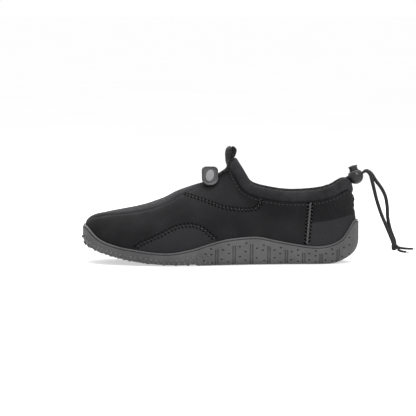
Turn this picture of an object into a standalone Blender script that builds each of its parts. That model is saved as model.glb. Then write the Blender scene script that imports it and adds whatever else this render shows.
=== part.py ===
"""A left water shoe: a moulded rubber sole, a hollow neoprene upper and a drawcord with its lock.

Lengths are metres and +Z is up. The toe points to -X, the heel to +X and the outer side to -Y.
Shoe coordinates run from the toe tip: along the shoe, across it and above the floor.
"""
import math

import bmesh
import bpy
import numpy as np
from mathutils import Matrix, Vector

OBJECT_NAME = "water_shoe"

# Running gap between neighbouring pieces
CLEAR = 0.0003

# Sole
SOLE_LENGTH = 0.276
BALL_WIDTH = 0.099
HEEL_WIDTH = 0.067
TOE_SPRING = 0.016
SPRING_LENGTH = 0.095
SPRING_POWER = 2.2
HEEL_LIFT = 0.009
HEEL_LIFT_LENGTH = 0.032
SOLE_FLOOR = 0.0065
RIM_HEIGHT = 0.0277
RIM_WALL = 0.0026
EDGE_ROUND = 0.005
ARCH_TUCK = 0.007
LIP_HEIGHT = 0.0022
LIP_STEP = 0.0008
RELIEF = 0.0011
RECESS_END = 0.1125
RECESS_STEP = 0.003
RIB_GAP = 0.0034
GROOVE_RADIUS = 0.0009
GROOVE_PITCH = 0.0172
GROOVE_COUNT = 8
GROOVE_START = 0.134
GROOVE_BELOW_RIM = 0.005

# Upper, insole and collar
WALL = 0.003
INSTEP_HEIGHT = 0.0936
ANKLE_HEIGHT = 0.0607
HEEL_HEIGHT = 0.066
COLLAR_WIDTH = 0.045
COLLAR_REACH = 0.2685
INSOLE_THICKNESS = 0.003
SEAM_WIDTH = 0.0024
SEAM_RISE = 0.0008
SEAM_PLACE = 0.786
SEAM_TOP_SHARE = 0.4
CUFF_HEIGHT = 0.0112
CUFF_THICKNESS = 0.0066
THROAT_EASE = 0.0014
THROAT_EASE_REACH = 0.020

# Badge and pull loop on the instep
BADGE_WIDTH = 0.017
BADGE_LENGTH = 0.0185
BADGE_THICKNESS = 0.0018
BADGE_AHEAD = 0.01823
BADGE_LIFT = 0.0020
BADGE_CORNER = 0.35
BADGE_SPREAD = 0.6
BADGE_TILT = math.radians(54)
LOOP_WIDTH = 0.008
LOOP_THICKNESS = 0.0014

# Cord lock and drawcord
LOCK_RADIUS = 0.0075
LOCK_BACK = 0.0043
LOCK_LEAN = math.radians(17)
PLUNGER_DIAMETER = 0.0084
PLUNGER_TOP = 0.0108
PLUNGER_TRAVEL = 0.003
PLUNGER_FOOT = 0.0015
CORD_DIAMETER = 0.0025
CORD_SPACING = 0.0029
CORD_HOLE_RISE = 0.0015
TAIL_DIAMETER = 0.0016
KNOT_DIAMETER = 0.0062

# How finely the curved pieces are cut into faces
HALF_STEPS = 30
UPPER_STEPS = 8
CAP_COLUMNS = 4
CUFF_SIDES = 10
CUFF_SMOOTHING = 3
RIB_POINTS = (32, 26, 20)
THROAT_STEPS = (0.0, 0.011, 0.024, 0.044)
PLAN_STEPS = 16
PLAN_POINTS = 400
RIDGE_STEPS = 120
LINE_STEPS = 8
LOOP_STEPS = 3
STRAND_POINTS = 24
TAIL_POINTS = 8
CORD_RESOLUTION = 2
MOULD_RESOLUTION = 1
BADGE_END_STEPS = 12
BADGE_CORNER_STEPS = 4
LOCK_SIDES = 20
BORE_SIDES = 24
KNOT_SIDES = 12
ROUND_ANGLE = math.radians(40)

# Sides of the foot
LATERAL = -1
MEDIAL = 1

# Plan of the sole. Columns: share of the length, share of the local width
LATERAL_PLAN = (
    (0.010, 0.109), (0.034, 0.237), (0.081, 0.362), (0.148, 0.457), (0.215, 0.524),
    (0.281, 0.565), (0.344, 0.571), (0.417, 0.550), (0.507, 0.528), (0.598, 0.532),
    (0.688, 0.546), (0.779, 0.530), (0.851, 0.507), (0.913, 0.425), (0.964, 0.261),
    (0.993, 0.104),
)
MEDIAL_PLAN = (
    (0.005, 0.146), (0.029, 0.260), (0.067, 0.345), (0.120, 0.393), (0.196, 0.424),
    (0.301, 0.415), (0.384, 0.388), (0.460, 0.363), (0.543, 0.372), (0.634, 0.419),
    (0.725, 0.474), (0.797, 0.485), (0.870, 0.463), (0.928, 0.381), (0.971, 0.224),
    (0.995, 0.097),
)
# The width passes from the ball's to the heel's between these shares of the length
WAIST_FROM = 0.40
WAIST_TO = 0.75

# Height of the rim above the sole's face. Columns: share of the length, share of the rim height
RIM_ROWS = (
    (0.000, 0.790), (0.014, 0.760), (0.058, 0.520), (0.126, 0.458), (0.193, 0.464),
    (0.261, 0.450), (0.326, 0.465), (0.399, 0.596), (0.460, 0.776), (0.514, 0.913),
    (0.569, 0.980), (0.634, 1.000), (0.707, 0.850), (0.783, 0.708), (0.833, 0.645),
    (0.884, 0.671), (0.935, 0.860), (0.960, 1.130), (0.986, 1.510), (1.000, 1.550),
)
# How far the side is tucked in at the floor. Columns: share of the length, outer side, inner side
TUCK_ROWS = (
    (0.00, 0.00, 0.00), (0.36, 0.00, 0.00), (0.44, 0.15, 0.70), (0.54, 0.30, 1.00),
    (0.78, 0.20, 1.00), (0.87, 0.05, 0.45), (0.94, 0.00, 0.00), (1.00, 0.00, 0.00),
)

# Rounded edge of the sole's side, from the face up. Columns: share of the edge's radius inwards,
# share of the tuck inwards, share of the edge's radius upwards
EDGE_ROWS = ((1.00, 1.00, 0.00), (0.45, 0.80, 0.15), (0.12, 0.55, 0.50), (0.00, 0.25, 1.00))

# Upper, one row for each section from the toe tip round to the back of the heel.
# Columns: share of the half outline, then the top point: share of the collar's reach,
# share of half the collar's width, share of the instep height; then the section's handles:
# up from the rim, out from the top and down from the top.
UPPER_ROWS = (
    (0.000, 0.063, 0.000, 0.515, 0.62, 0.62, 0.00),
    (0.080, 0.089, 0.000, 0.536, 0.62, 0.62, 0.00),
    (0.137, 0.127, 0.000, 0.556, 0.60, 0.62, 0.00),
    (0.200, 0.179, 0.000, 0.586, 0.58, 0.62, 0.00),
    (0.263, 0.235, 0.000, 0.622, 0.56, 0.60, 0.00),
    (0.320, 0.294, 0.000, 0.682, 0.55, 0.58, 0.00),
    (0.377, 0.354, 0.000, 0.765, 0.56, 0.48, 0.04),
    (0.440, 0.417, 0.000, 0.826, 0.56, 0.38, 0.12),
    (0.490, 0.466, 0.000, 0.868, 0.55, 0.30, 0.20),
    (0.540, 0.510, 0.000, 0.936, 0.52, 0.26, 0.23),
    (0.575, 0.542, 0.000, 1.000, 0.48, 0.22, 0.24),
)
THROAT_PLACE = UPPER_ROWS[-1][0]
# The same for the collar, with the height as a share of the way from the ankle's height
# to the instep's, and from the ankle's to the heel's.
# Columns: share of the half outline, share of the reach, share of half the width,
# share of the way to the instep, share of the way to the heel, up, out, down.
COLLAR_ROWS = (
    (0.588, 0.547, 0.290, 0.930, 0.00, 0.45, 0.18, 0.25),
    (0.604, 0.561, 0.500, 0.740, 0.00, 0.43, 0.13, 0.29),
    (0.630, 0.590, 0.690, 0.390, 0.00, 0.40, 0.11, 0.32),
    (0.660, 0.628, 0.840, 0.200, 0.00, 0.39, 0.10, 0.34),
    (0.700, 0.691, 0.960, 0.070, 0.00, 0.38, 0.10, 0.36),
    (0.750, 0.767, 1.000, 0.000, 0.00, 0.38, 0.10, 0.37),
    (0.786, 0.838, 1.000, 0.000, 0.06, 0.38, 0.08, 0.38),
    (0.830, 0.899, 0.900, 0.000, 0.50, 0.38, 0.06, 0.38),
    (0.880, 0.947, 0.710, 0.000, 1.30, 0.38, 0.04, 0.38),
    (0.930, 0.979, 0.470, 0.000, 2.10, 0.38, 0.02, 0.38),
    (0.965, 0.994, 0.250, 0.000, 1.40, 0.38, 0.00, 0.38),
    (1.000, 1.000, 0.000, 0.000, 1.00, 0.38, 0.00, 0.38),
)
COLLAR_TABLE = ((THROAT_PLACE, UPPER_ROWS[-1][1], 0.0, 1.0, 0.0, *UPPER_ROWS[-1][4:]),) + COLLAR_ROWS

# Three rounded triangles under the forefoot, each a double rib.
# Columns: share of the length, share of the ball width
RIB_LOOPS = (
    ((0.054, -0.007), (0.136, 0.129), (0.214, 0.171), (0.292, 0.181), (0.345, 0.169),
     (0.395, 0.095), (0.368, -0.096), (0.367, -0.203), (0.386, -0.330), (0.366, -0.420),
     (0.304, -0.425), (0.224, -0.372), (0.171, -0.300), (0.103, -0.175)),
    ((0.087, -0.018), (0.122, 0.055), (0.215, 0.098), (0.308, 0.101), (0.355, 0.069),
     (0.335, -0.093), (0.336, -0.204), (0.348, -0.290), (0.314, -0.340), (0.223, -0.285),
     (0.142, -0.170), (0.093, -0.074)),
    ((0.121, -0.033), (0.152, 0.001), (0.217, 0.028), (0.283, 0.046), (0.322, 0.019),
     (0.306, -0.125), (0.306, -0.215), (0.290, -0.252), (0.250, -0.235), (0.195, -0.180),
     (0.141, -0.089)),
)
# Wave of a groove under the sole, from the outer side to the inner one.
# Columns: share of the way across, shift along the shoe as a share of the pitch
WAVE_ROWS = (
    (0.11, -0.10), (0.27, -0.44), (0.34, -0.62), (0.44, -0.75), (0.53, -0.68),
    (0.66, -0.35), (0.78, -0.08), (0.90, 0.00),
)

# Where the pull loop lies on the ridge, along from the throat, and then its side view up,
# over the top and back down. Columns: along from the throat, above the instep height
LOOP_ROOTS = (-0.0090, -0.0070, -0.0050)
LOOP_ROUTE = (
    (-0.0022, 0.0036), (0.0014, 0.0095), (0.0042, 0.0150), (0.0050, 0.0185),
    (0.0028, 0.0206), (0.0002, 0.0190), (-0.0014, 0.0140), (-0.0026, 0.0095),
)

# Route of each strand behind the lock. Columns: behind the lock's centre, across, above the floor
STRAND_ROUTES = (
    ((0.0102, -0.0015, 0.0908), (0.0140, -0.0015, 0.0882), (0.0166, -0.0017, 0.0800),
     (0.0190, -0.0019, 0.0700), (0.0216, -0.0020, 0.0600), (0.0256, -0.0020, 0.0480),
     (0.0312, -0.0018, 0.0346), (0.0358, -0.0018, 0.0236), (0.0378, -0.0015, 0.0182)),
    ((0.0104, 0.0015, 0.0912), (0.0150, 0.0015, 0.0888), (0.0202, 0.0017, 0.0812),
     (0.0262, 0.0020, 0.0730), (0.0300, 0.0021, 0.0650), (0.0318, 0.0021, 0.0550),
     (0.0324, 0.0020, 0.0440), (0.0350, 0.0020, 0.0320), (0.0396, 0.0015, 0.0186)),
)
# Start of each strand in front of the lock. Columns: behind the lock's centre, above the cuff
STRAND_ROOTS = ((-0.0112, 0.00185), (-0.0108, 0.0045))
KNOT_BEHIND = 0.0393
KNOT_HEIGHT = 0.0146
# Route of each cord end past the knot. Columns: behind the knot, across, above the knot
TAIL_ROUTES = (
    ((0.0034, 0.0004, -0.0004), (0.0080, 0.0012, -0.0014), (0.0130, 0.0010, -0.0018),
     (0.0185, 0.0004, -0.0020)),
    ((0.0030, -0.0008, -0.0024), (0.0060, -0.0014, -0.0040), (0.0090, -0.0014, -0.0046),
     (0.0116, -0.0010, -0.0050)),
)


def smooth_step(value, low, high):
    """Goes softly from 0 at low to 1 at high."""
    share = min(max((value - low) / (high - low), 0.0), 1.0)
    return share * share * (3.0 - 2.0 * share)


def smooth_line(points, per_span, closed=False):
    """Reads a smooth curve through the points, with per_span steps between neighbours."""
    pts = [np.array(p, dtype=float) for p in points]
    if closed:
        pts = [pts[-1]] + pts + [pts[0], pts[1]]
    else:
        pts = [2 * pts[0] - pts[1]] + pts + [2 * pts[-1] - pts[-2]]
    line = []
    for p0, p1, p2, p3 in zip(pts, pts[1:], pts[2:], pts[3:]):
        t1 = math.sqrt(np.linalg.norm(p1 - p0))
        t2 = t1 + math.sqrt(np.linalg.norm(p2 - p1))
        t3 = t2 + math.sqrt(np.linalg.norm(p3 - p2))
        for step in range(per_span):
            t = t1 + (t2 - t1) * step / per_span
            a1 = (t1 - t) / t1 * p0 + t / t1 * p1
            a2 = (t2 - t) / (t2 - t1) * p1 + (t - t1) / (t2 - t1) * p2
            a3 = (t3 - t) / (t3 - t2) * p2 + (t - t2) / (t3 - t2) * p3
            b1 = (t2 - t) / t2 * a1 + t / t2 * a2
            b2 = (t3 - t) / (t3 - t1) * a2 + (t - t1) / (t3 - t1) * a3
            line.append((t2 - t) / (t2 - t1) * b1 + (t - t1) / (t2 - t1) * b2)
    if not closed:
        line.append(pts[-2])
    return np.array(line)


def resample(line, count):
    """Places count points evenly along a line."""
    steps = np.concatenate(([0.0], np.cumsum(np.linalg.norm(np.diff(line, axis=0), axis=1))))
    places = np.linspace(0.0, steps[-1], count)
    return np.stack([np.interp(places, steps, line[:, axis]) for axis in range(line.shape[1])], axis=1)


def read_rows(rows, place, column):
    """Reads a column of a table at a place, softly between the rows."""
    keys = [row[0] for row in rows]
    values = [row[column] for row in rows]
    index = int(np.clip(np.searchsorted(keys, place) - 1, 0, len(keys) - 2))

    def slope(at):
        low = max(at - 1, 0)
        high = min(at + 1, len(keys) - 1)
        return (values[high] - values[low]) / (keys[high] - keys[low])

    width = keys[index + 1] - keys[index]
    t = min(max((place - keys[index]) / width, 0.0), 1.0)
    return ((2 * t ** 3 - 3 * t ** 2 + 1) * values[index]
            + (t ** 3 - 2 * t ** 2 + t) * width * slope(index)
            + (3 * t ** 2 - 2 * t ** 3) * values[index + 1]
            + (t ** 3 - t ** 2) * width * slope(index + 1))


def local_width(along):
    """Width of the sole at a share of its length, from which the plan's shares are taken."""
    heel_share = smooth_step(along, WAIST_FROM, WAIST_TO)
    return BALL_WIDTH * (1.0 - heel_share) + HEEL_WIDTH * heel_share


def plan_half(rows, side):
    """One half of the plan as an even line from the toe tip to the back of the heel."""
    return [(a * SOLE_LENGTH, side * w * local_width(a)) for a, w in rows]


def make_outlines():
    """Both halves of the plan, each as dense points from the toe tip to the heel."""
    lateral = plan_half(LATERAL_PLAN, LATERAL)
    medial = plan_half(MEDIAL_PLAN, MEDIAL)
    corners = [(0.0, 0.0)] + lateral + [(SOLE_LENGTH, 0.0)] + medial[::-1]
    loop = smooth_line(corners, PLAN_STEPS, closed=True)
    heel = PLAN_STEPS * (len(lateral) + 1)
    lateral_line = loop[:heel + 1]
    medial_line = np.vstack((loop[heel:], loop[:1]))[::-1]
    return {LATERAL: resample(lateral_line, PLAN_POINTS), MEDIAL: resample(medial_line, PLAN_POINTS)}


OUTLINES = make_outlines()
PLAN_REACH = {side: float(np.max(side * line[:, 1])) for side, line in OUTLINES.items()}


def outline_point(side, place):
    """Point of the plan at a share of its half outline, and its outward direction."""
    line = OUTLINES[side]
    spot = place * (len(line) - 1)
    point = np.array([np.interp(spot, np.arange(len(line)), line[:, axis]) for axis in (0, 1)])
    low = int(np.clip(round(spot) - 2, 0, len(line) - 5))
    if place <= 0.0:
        return point, np.array([-1.0, 0.0])
    if place >= 1.0:
        return point, np.array([1.0, 0.0])
    run = line[low + 4] - line[low]
    out = np.array([run[1], -run[0]]) * -side
    return point, out / np.linalg.norm(out)


def place_at(side, along):
    """Share of the half outline where it passes a length along the shoe."""
    line = OUTLINES[side]
    return float(np.interp(along, line[:, 0], np.linspace(0.0, 1.0, len(line))))


def spring(along):
    """Height of the sole's underside over the floor, which lifts towards the toe."""
    return TOE_SPRING * max(1.0 - along / SPRING_LENGTH, 0.0) ** SPRING_POWER


def face_height(along):
    """Height of the sole's face: recessed between the forefoot's ribs, and lifted at the heel's end."""
    recess = 1.0 - smooth_step(along, RECESS_END, RECESS_END + RECESS_STEP)
    heel = max((along - SOLE_LENGTH + HEEL_LIFT_LENGTH) / HEEL_LIFT_LENGTH, 0.0)
    return spring(along) + RELIEF * recess + HEEL_LIFT * heel ** 2


def cup_height(along):
    """Height of the floor inside the sole's rim."""
    return spring(along) + SOLE_FLOOR


def rim_height(along):
    """Height of the rim's top."""
    return spring(along) + RIM_HEIGHT * read_rows(RIM_ROWS, along / SOLE_LENGTH, 1)


def tuck(side, along):
    """How far the side is drawn in at the floor."""
    column = 1 if side == LATERAL else 2
    return ARCH_TUCK * read_rows(TUCK_ROWS, along / SOLE_LENGTH, column)


def seam_places():
    """Shares of the half outline at the four edges of the heel's raised seam."""
    half_outline = float(np.sum(np.linalg.norm(np.diff(OUTLINES[LATERAL], axis=0), axis=1)))
    edge = SEAM_WIDTH / half_outline
    top = SEAM_TOP_SHARE * edge
    return [SEAM_PLACE - edge, SEAM_PLACE - top, SEAM_PLACE + top, SEAM_PLACE + edge]


def half_places():
    """Shares of the half outline where every ring has its points."""
    seam = seam_places()
    throat = [THROAT_PLACE + step for step in THROAT_STEPS]
    recess = [place_at(LATERAL, RECESS_END), place_at(LATERAL, RECESS_END + RECESS_STEP)]
    even = [step / HALF_STEPS for step in range(HALF_STEPS + 1)]
    spare = 0.35 / HALF_STEPS
    groups = (recess, throat, seam)
    kept = [p for p in even if not any(g[0] - spare < p < g[-1] + spare for g in groups)]
    return sorted(kept + recess + throat + seam)


PLACES = half_places()


def ring_stations():
    """Side and share for every point of a ring: the outer half first, then the inner one back."""
    lateral = [(LATERAL, place) for place in PLACES]
    medial = [(MEDIAL, place) for place in PLACES[1:-1]]
    return lateral + medial[::-1]


def inset_point(side, place, inset, height):
    """Point of the plan moved inwards, at a height given as a function of the length."""
    point, out = outline_point(side, place)
    moved = point - out * inset
    return Vector((moved[0], moved[1], height(point[0])))


def wall_profile(side, place):
    """Points up the sole's outer side, from the face to the rim's lip."""
    point, _ = outline_point(side, place)
    drawn = tuck(side, point[0])
    base = face_height(point[0])
    rim = rim_height(point[0])
    lip = rim - LIP_HEIGHT
    rows = [(inward * EDGE_ROUND + share * drawn, base + rise * EDGE_ROUND)
            for inward, share, rise in EDGE_ROWS]
    rows += [(0.0, lip), (LIP_STEP, lip), (LIP_STEP, rim), (RIM_WALL, rim)]
    return [inset_point(side, place, inset, lambda _, z=z: z) for inset, z in rows]


def to_world(point):
    """Moves a point from shoe coordinates to the object's own frame."""
    lock_reach = COLLAR_REACH + LOCK_BACK + LOCK_RADIUS
    middle = 0.5 * max(SOLE_LENGTH, lock_reach)
    across = 0.5 * (PLAN_REACH[MEDIAL] - PLAN_REACH[LATERAL])
    return Vector((point[0] - middle, point[1] - across, point[2]))


def add_material(name, colour, roughness):
    """A Principled material with a plain colour."""
    material = bpy.data.materials.new(name)
    material.use_nodes = True
    shader = material.node_tree.nodes["Principled BSDF"]
    shader.inputs["Base Color"].default_value = (*colour, 1.0)
    shader.inputs["Roughness"].default_value = roughness
    return material


def add_object(name, mesh, material, collection):
    """Puts a mesh into the scene as a named object."""
    thing = bpy.data.objects.new(name, mesh)
    collection.objects.link(thing)
    if material:
        mesh.materials.clear()
        mesh.materials.append(material)
    return thing


def mesh_from(name, points, faces):
    """A mesh of points in shoe coordinates, with its faces turned outwards."""
    mesh = bpy.data.meshes.new(name)
    mesh.from_pydata([to_world(p) for p in points], [], faces)
    shape = bmesh.new()
    shape.from_mesh(mesh)
    bmesh.ops.recalc_face_normals(shape, faces=shape.faces)
    shape.to_mesh(mesh)
    shape.free()
    return mesh


def ring_faces(first, second):
    """Quads between two closed rings of point numbers."""
    count = len(first)
    return [(first[i], first[(i + 1) % count], second[(i + 1) % count], second[i]) for i in range(count)]


def cap_faces(points, ring, height):
    """Closes a ring with strips from side to side, and adds their inner points."""
    half = len(ring) // 2
    rows = []
    for step in range(half + 1):
        if step in (0, half):
            rows.append([ring[step]])
            continue
        outer = ring[step]
        inner = ring[len(ring) - step]
        row = [outer]
        for column in range(1, CAP_COLUMNS):
            spot = points[outer].lerp(points[inner], column / CAP_COLUMNS)
            points.append(Vector((spot.x, spot.y, height(spot.x))))
            row.append(len(points) - 1)
        rows.append(row + [inner])
    faces = []
    for first, second in zip(rows, rows[1:]):
        if len(first) == 1:
            faces += [(first[0], second[i], second[i + 1]) for i in range(CAP_COLUMNS)]
        elif len(second) == 1:
            faces += [(first[i + 1], first[i], second[0]) for i in range(CAP_COLUMNS)]
        else:
            faces += [(first[i], second[i], second[i + 1], first[i + 1]) for i in range(CAP_COLUMNS)]
    return faces


def tube_mesh(name, line, radius, resolution, closed=False):
    """A round tube along a line, welded into one closed mesh."""
    curve = bpy.data.curves.new(name, "CURVE")
    curve.dimensions = "3D"
    curve.bevel_depth = radius
    curve.bevel_resolution = resolution
    curve.use_fill_caps = not closed
    spline = curve.splines.new("POLY")
    spline.points.add(len(line) - 1)
    for spot, point in zip(spline.points, line):
        spot.co = (*to_world(point), 1.0)
    spline.use_cyclic_u = closed
    holder = bpy.data.objects.new(name, curve)
    bpy.context.scene.collection.objects.link(holder)
    bpy.context.view_layer.update()
    mesh = bpy.data.meshes.new_from_object(holder.evaluated_get(bpy.context.evaluated_depsgraph_get()))
    bpy.data.objects.remove(holder)
    bpy.data.curves.remove(curve)
    shape = bmesh.new()
    shape.from_mesh(mesh)
    bmesh.ops.remove_doubles(shape, verts=shape.verts, dist=0.00001)
    bmesh.ops.recalc_face_normals(shape, faces=shape.faces)
    shape.to_mesh(mesh)
    shape.free()
    return mesh


def add_tool(target, mesh, operation, cutters, solver="EXACT"):
    """Joins or cuts an object with a mesh that stays hidden among the cutters."""
    tool = add_object(mesh.name, mesh, None, cutters)
    tool.hide_render = True
    tool.display_type = "WIRE"
    step = target.modifiers.new(mesh.name, "BOOLEAN")
    step.operation = operation
    step.solver = solver
    step.object = tool
    return tool


def join_meshes(name, meshes):
    """One mesh with the parts of several that lie apart."""
    shape = bmesh.new()
    for mesh in meshes:
        shape.from_mesh(mesh)
    joined = bpy.data.meshes.new(name)
    shape.to_mesh(joined)
    shape.free()
    return joined


def rib_meshes():
    """Round ribs along the rounded triangles under the forefoot, two for each."""
    meshes = []
    for number, rows in enumerate(RIB_LOOPS):
        route = [(a * SOLE_LENGTH, w * BALL_WIDTH) for a, w in rows]
        loop = smooth_line(route, LINE_STEPS, closed=True)
        line = resample(np.vstack((loop, loop[:1])), RIB_POINTS[number] + 1)[:-1]
        run = np.roll(line, -1, axis=0) - np.roll(line, 1, axis=0)
        out = np.stack((run[:, 1], -run[:, 0]), axis=1) / np.linalg.norm(run, axis=1)[:, None]
        for turn in (-0.5, 0.5):
            moved = line + out * turn * RIB_GAP
            path = [(x, y, face_height(x)) for x, y in moved]
            meshes.append(tube_mesh("rib", path, RELIEF, MOULD_RESOLUTION, closed=True))
    return meshes


def groove_path(number):
    """Line of one groove: down the outer side, in a wave under the sole and up the inner side."""
    along = GROOVE_START + number * GROOVE_PITCH
    walls = {}
    for side in (LATERAL, MEDIAL):
        profile = wall_profile(side, place_at(side, along))
        top = profile[4].lerp(profile[3], min(GROOVE_BELOW_RIM / (profile[4] - profile[3]).length, 1.0))
        walls[side] = [top] + profile[3::-1]
    start = walls[LATERAL][-1]
    end = walls[MEDIAL][-1]
    wave = []
    for share, shift in WAVE_ROWS:
        spot = start.lerp(end, share)
        at = spot.x + shift * GROOVE_PITCH
        wave.append(Vector((at, spot.y, face_height(at))))
    across = [start] + wave + [end]
    return walls[LATERAL] + [Vector(p) for p in across[1:-1]] + walls[MEDIAL][::-1]


def build_outsole(material, parts, cutters):
    """Moulded cup sole: rounded side, lip along the rim, ribs and grooves underneath."""
    stations = ring_stations()
    profiles = [wall_profile(side, place) for side, place in stations]
    rings = [[profile[row] for profile in profiles] for row in range(len(profiles[0]))]
    rings.append([inset_point(side, place, RIM_WALL, cup_height) for side, place in stations])
    points = [point for ring in rings for point in ring]
    count = len(stations)
    numbers = [list(range(row * count, (row + 1) * count)) for row in range(len(rings))]
    faces = []
    for first, second in zip(numbers, numbers[1:]):
        faces += ring_faces(first, second)
    faces += cap_faces(points, numbers[0], face_height)
    faces += cap_faces(points, numbers[-1], cup_height)
    sole = add_object("outsole", mesh_from("outsole", points, faces), material, parts)
    grooves = [tube_mesh("groove", groove_path(n), GROOVE_RADIUS, MOULD_RESOLUTION)
               for n in range(GROOVE_COUNT)]
    add_tool(sole, join_meshes("sole_grooves", grooves), "DIFFERENCE", cutters, "MANIFOLD")
    add_tool(sole, join_meshes("sole_ribs", rib_meshes()), "UNION", cutters, "MANIFOLD")


def build_insole(material, parts):
    """Flat insole inside the upper, on the sole's floor."""
    inset = RIM_WALL + CLEAR + WALL + CLEAR
    stations = ring_stations()
    levels = (lambda x: cup_height(x) + CLEAR, lambda x: cup_height(x) + CLEAR + INSOLE_THICKNESS)
    points = []
    for level in levels:
        points += [inset_point(side, place, inset, level) for side, place in stations]
    count = len(stations)
    low = list(range(count))
    high = list(range(count, 2 * count))
    faces = ring_faces(low, high)
    faces += cap_faces(points, low, levels[0])
    faces += cap_faces(points, high, levels[1])
    add_object("insole", mesh_from("insole", points, faces), material, parts)


def top_point(side, place):
    """Point of the upper's top line: the ridge over the toes, then the collar's edge."""
    if place <= THROAT_PLACE:
        along = COLLAR_REACH * read_rows(UPPER_ROWS, place, 1)
        return Vector((along, 0.0, INSTEP_HEIGHT * read_rows(UPPER_ROWS, place, 3)))
    along = COLLAR_REACH * read_rows(COLLAR_TABLE, place, 1)
    across = 0.5 * COLLAR_WIDTH * read_rows(COLLAR_TABLE, place, 2)
    to_instep = read_rows(COLLAR_TABLE, place, 3)
    to_heel = read_rows(COLLAR_TABLE, place, 4)
    height = (ANKLE_HEIGHT + to_instep * (INSTEP_HEIGHT - ANKLE_HEIGHT)
              + to_heel * (HEEL_HEIGHT - ANKLE_HEIGHT))
    return Vector((along, side * across, height))


def handles(place):
    """The section's handles: up from the rim, out from the top and down from the top."""
    if place <= THROAT_PLACE:
        return [read_rows(UPPER_ROWS, place, column) for column in (4, 5, 6)]
    return [read_rows(COLLAR_TABLE, place, column) for column in (5, 6, 7)]


def upper_section(side, place):
    """Points of the upper's outer face, from its lower edge in the sole up to its top line."""
    inset = RIM_WALL + CLEAR
    foot = inset_point(side, place, inset, lambda x: cup_height(x) + CLEAR)
    rim = inset_point(side, place, inset, rim_height)
    top = top_point(side, place)
    up, out, down = handles(place)
    rise = Vector((0.0, 0.0, top.z - rim.z))
    reach = Vector((rim.x - top.x, rim.y - top.y, 0.0))
    low_handle = rim + rise * up
    high_handle = top + reach * out - rise * down
    section = [foot]
    for step in range(UPPER_STEPS + 1):
        t = step / UPPER_STEPS
        section.append((1 - t) ** 3 * rim + 3 * t * (1 - t) ** 2 * low_handle
                       + 3 * t * t * (1 - t) * high_handle + t ** 3 * top)
    return section


def is_seam(place):
    """Whether a station lies on the raised part of the heel's seam."""
    seam = seam_places()
    return seam[1] - 1e-9 <= place <= seam[2] + 1e-9


def build_upper(material, parts):
    """Neoprene upper: one skin from the sole to the ridge and the collar, given its wall."""
    stations = ring_stations()
    sections = []
    for side, place in stations:
        section = upper_section(side, place)
        if is_seam(place):
            _, out = outline_point(side, place)
            lift = Vector((out[0], out[1], 0.0)) * SEAM_RISE
            section = section[:2] + [p + lift for p in section[2:-1]] + section[-1:]
        sections.append(section)
    levels = len(sections[0])
    points = []
    numbers = [[0] * len(stations) for _ in range(levels)]
    ridge = {}
    for column, (side, place) in enumerate(stations):
        for level in range(levels):
            on_ridge = level == levels - 1 and place <= THROAT_PLACE
            if on_ridge and place in ridge:
                numbers[level][column] = ridge[place]
                continue
            points.append(sections[column][level])
            numbers[level][column] = len(points) - 1
            if on_ridge:
                ridge[place] = len(points) - 1
    faces = []
    for first, second in zip(numbers, numbers[1:]):
        for face in ring_faces(first, second):
            faces.append(tuple(dict.fromkeys(face)))
    mesh = mesh_from("upper", points, [f for f in faces if len(f) > 2])
    upper = add_object("upper", mesh, material, parts)
    wall = upper.modifiers.new("wall", "SOLIDIFY")
    wall.thickness = WALL
    wall.offset = -1.0
    wall.use_even_offset = True


def collar_loop():
    """Stations round the collar: the outer side from the throat back, then the inner side."""
    lateral = [(LATERAL, place) for place in PLACES if place > THROAT_PLACE]
    medial = [(MEDIAL, place) for place in PLACES if THROAT_PLACE < place < 1.0]
    return [(LATERAL, THROAT_PLACE)] + lateral + medial[::-1]


def cuff_frames():
    """Centre, upward and outward directions of the cuff's section at each station."""
    stations = collar_loop()
    edge = [top_point(side, place) for side, place in stations]
    count = len(edge)
    runs = [(edge[(n + 1) % count] - edge[n - 1]).normalized() for n in range(count)]
    ups = []
    for number, (side, place) in enumerate(stations):
        if place == THROAT_PLACE:
            wall_run = edge[number] - top_point(side, place - THROAT_STEPS[1])
        else:
            wall_run = edge[number] - upper_section(side, place)[-2]
        ups.append(runs[number].cross(wall_run).normalized().cross(runs[number]))
    for _ in range(CUFF_SMOOTHING):
        ups = [(ups[n - 1] + 2 * ups[n] + ups[(n + 1) % count]).normalized() for n in range(count)]
    frames = []
    for point, run, rough_up in zip(edge, runs, ups):
        out = run.cross(rough_up).normalized()
        up = out.cross(run)
        past_throat = smooth_step(point.x - edge[0].x, 0.0, THROAT_EASE_REACH)
        seat = CLEAR + THROAT_EASE * (1.0 - past_throat)
        centre = point - out * 0.5 * WALL + up * (0.5 * CUFF_HEIGHT + seat)
        frames.append((centre, up, out))
    return frames


def build_cuff(material, parts):
    """Rolled cuff on the collar's edge, the tunnel of the drawcord."""
    points = []
    for centre, up, out in cuff_frames():
        for side in range(CUFF_SIDES):
            turn = 2 * math.pi * side / CUFF_SIDES
            points.append(centre + up * 0.5 * CUFF_HEIGHT * math.cos(turn)
                          + out * 0.5 * CUFF_THICKNESS * math.sin(turn))
    count = len(points) // CUFF_SIDES
    rings = [list(range(n * CUFF_SIDES, (n + 1) * CUFF_SIDES)) for n in range(count)]
    faces = []
    for number in range(count):
        faces += ring_faces(rings[number], rings[(number + 1) % count])
    add_object("collar_cuff", mesh_from("collar_cuff", points, faces), material, parts)


def ridge_height(along):
    """Height of the instep's ridge at a length along the shoe."""
    ridge = [top_point(LATERAL, THROAT_PLACE * step / RIDGE_STEPS) for step in range(RIDGE_STEPS + 1)]
    return float(np.interp(along, [p.x for p in ridge], [p.z for p in ridge]))


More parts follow.
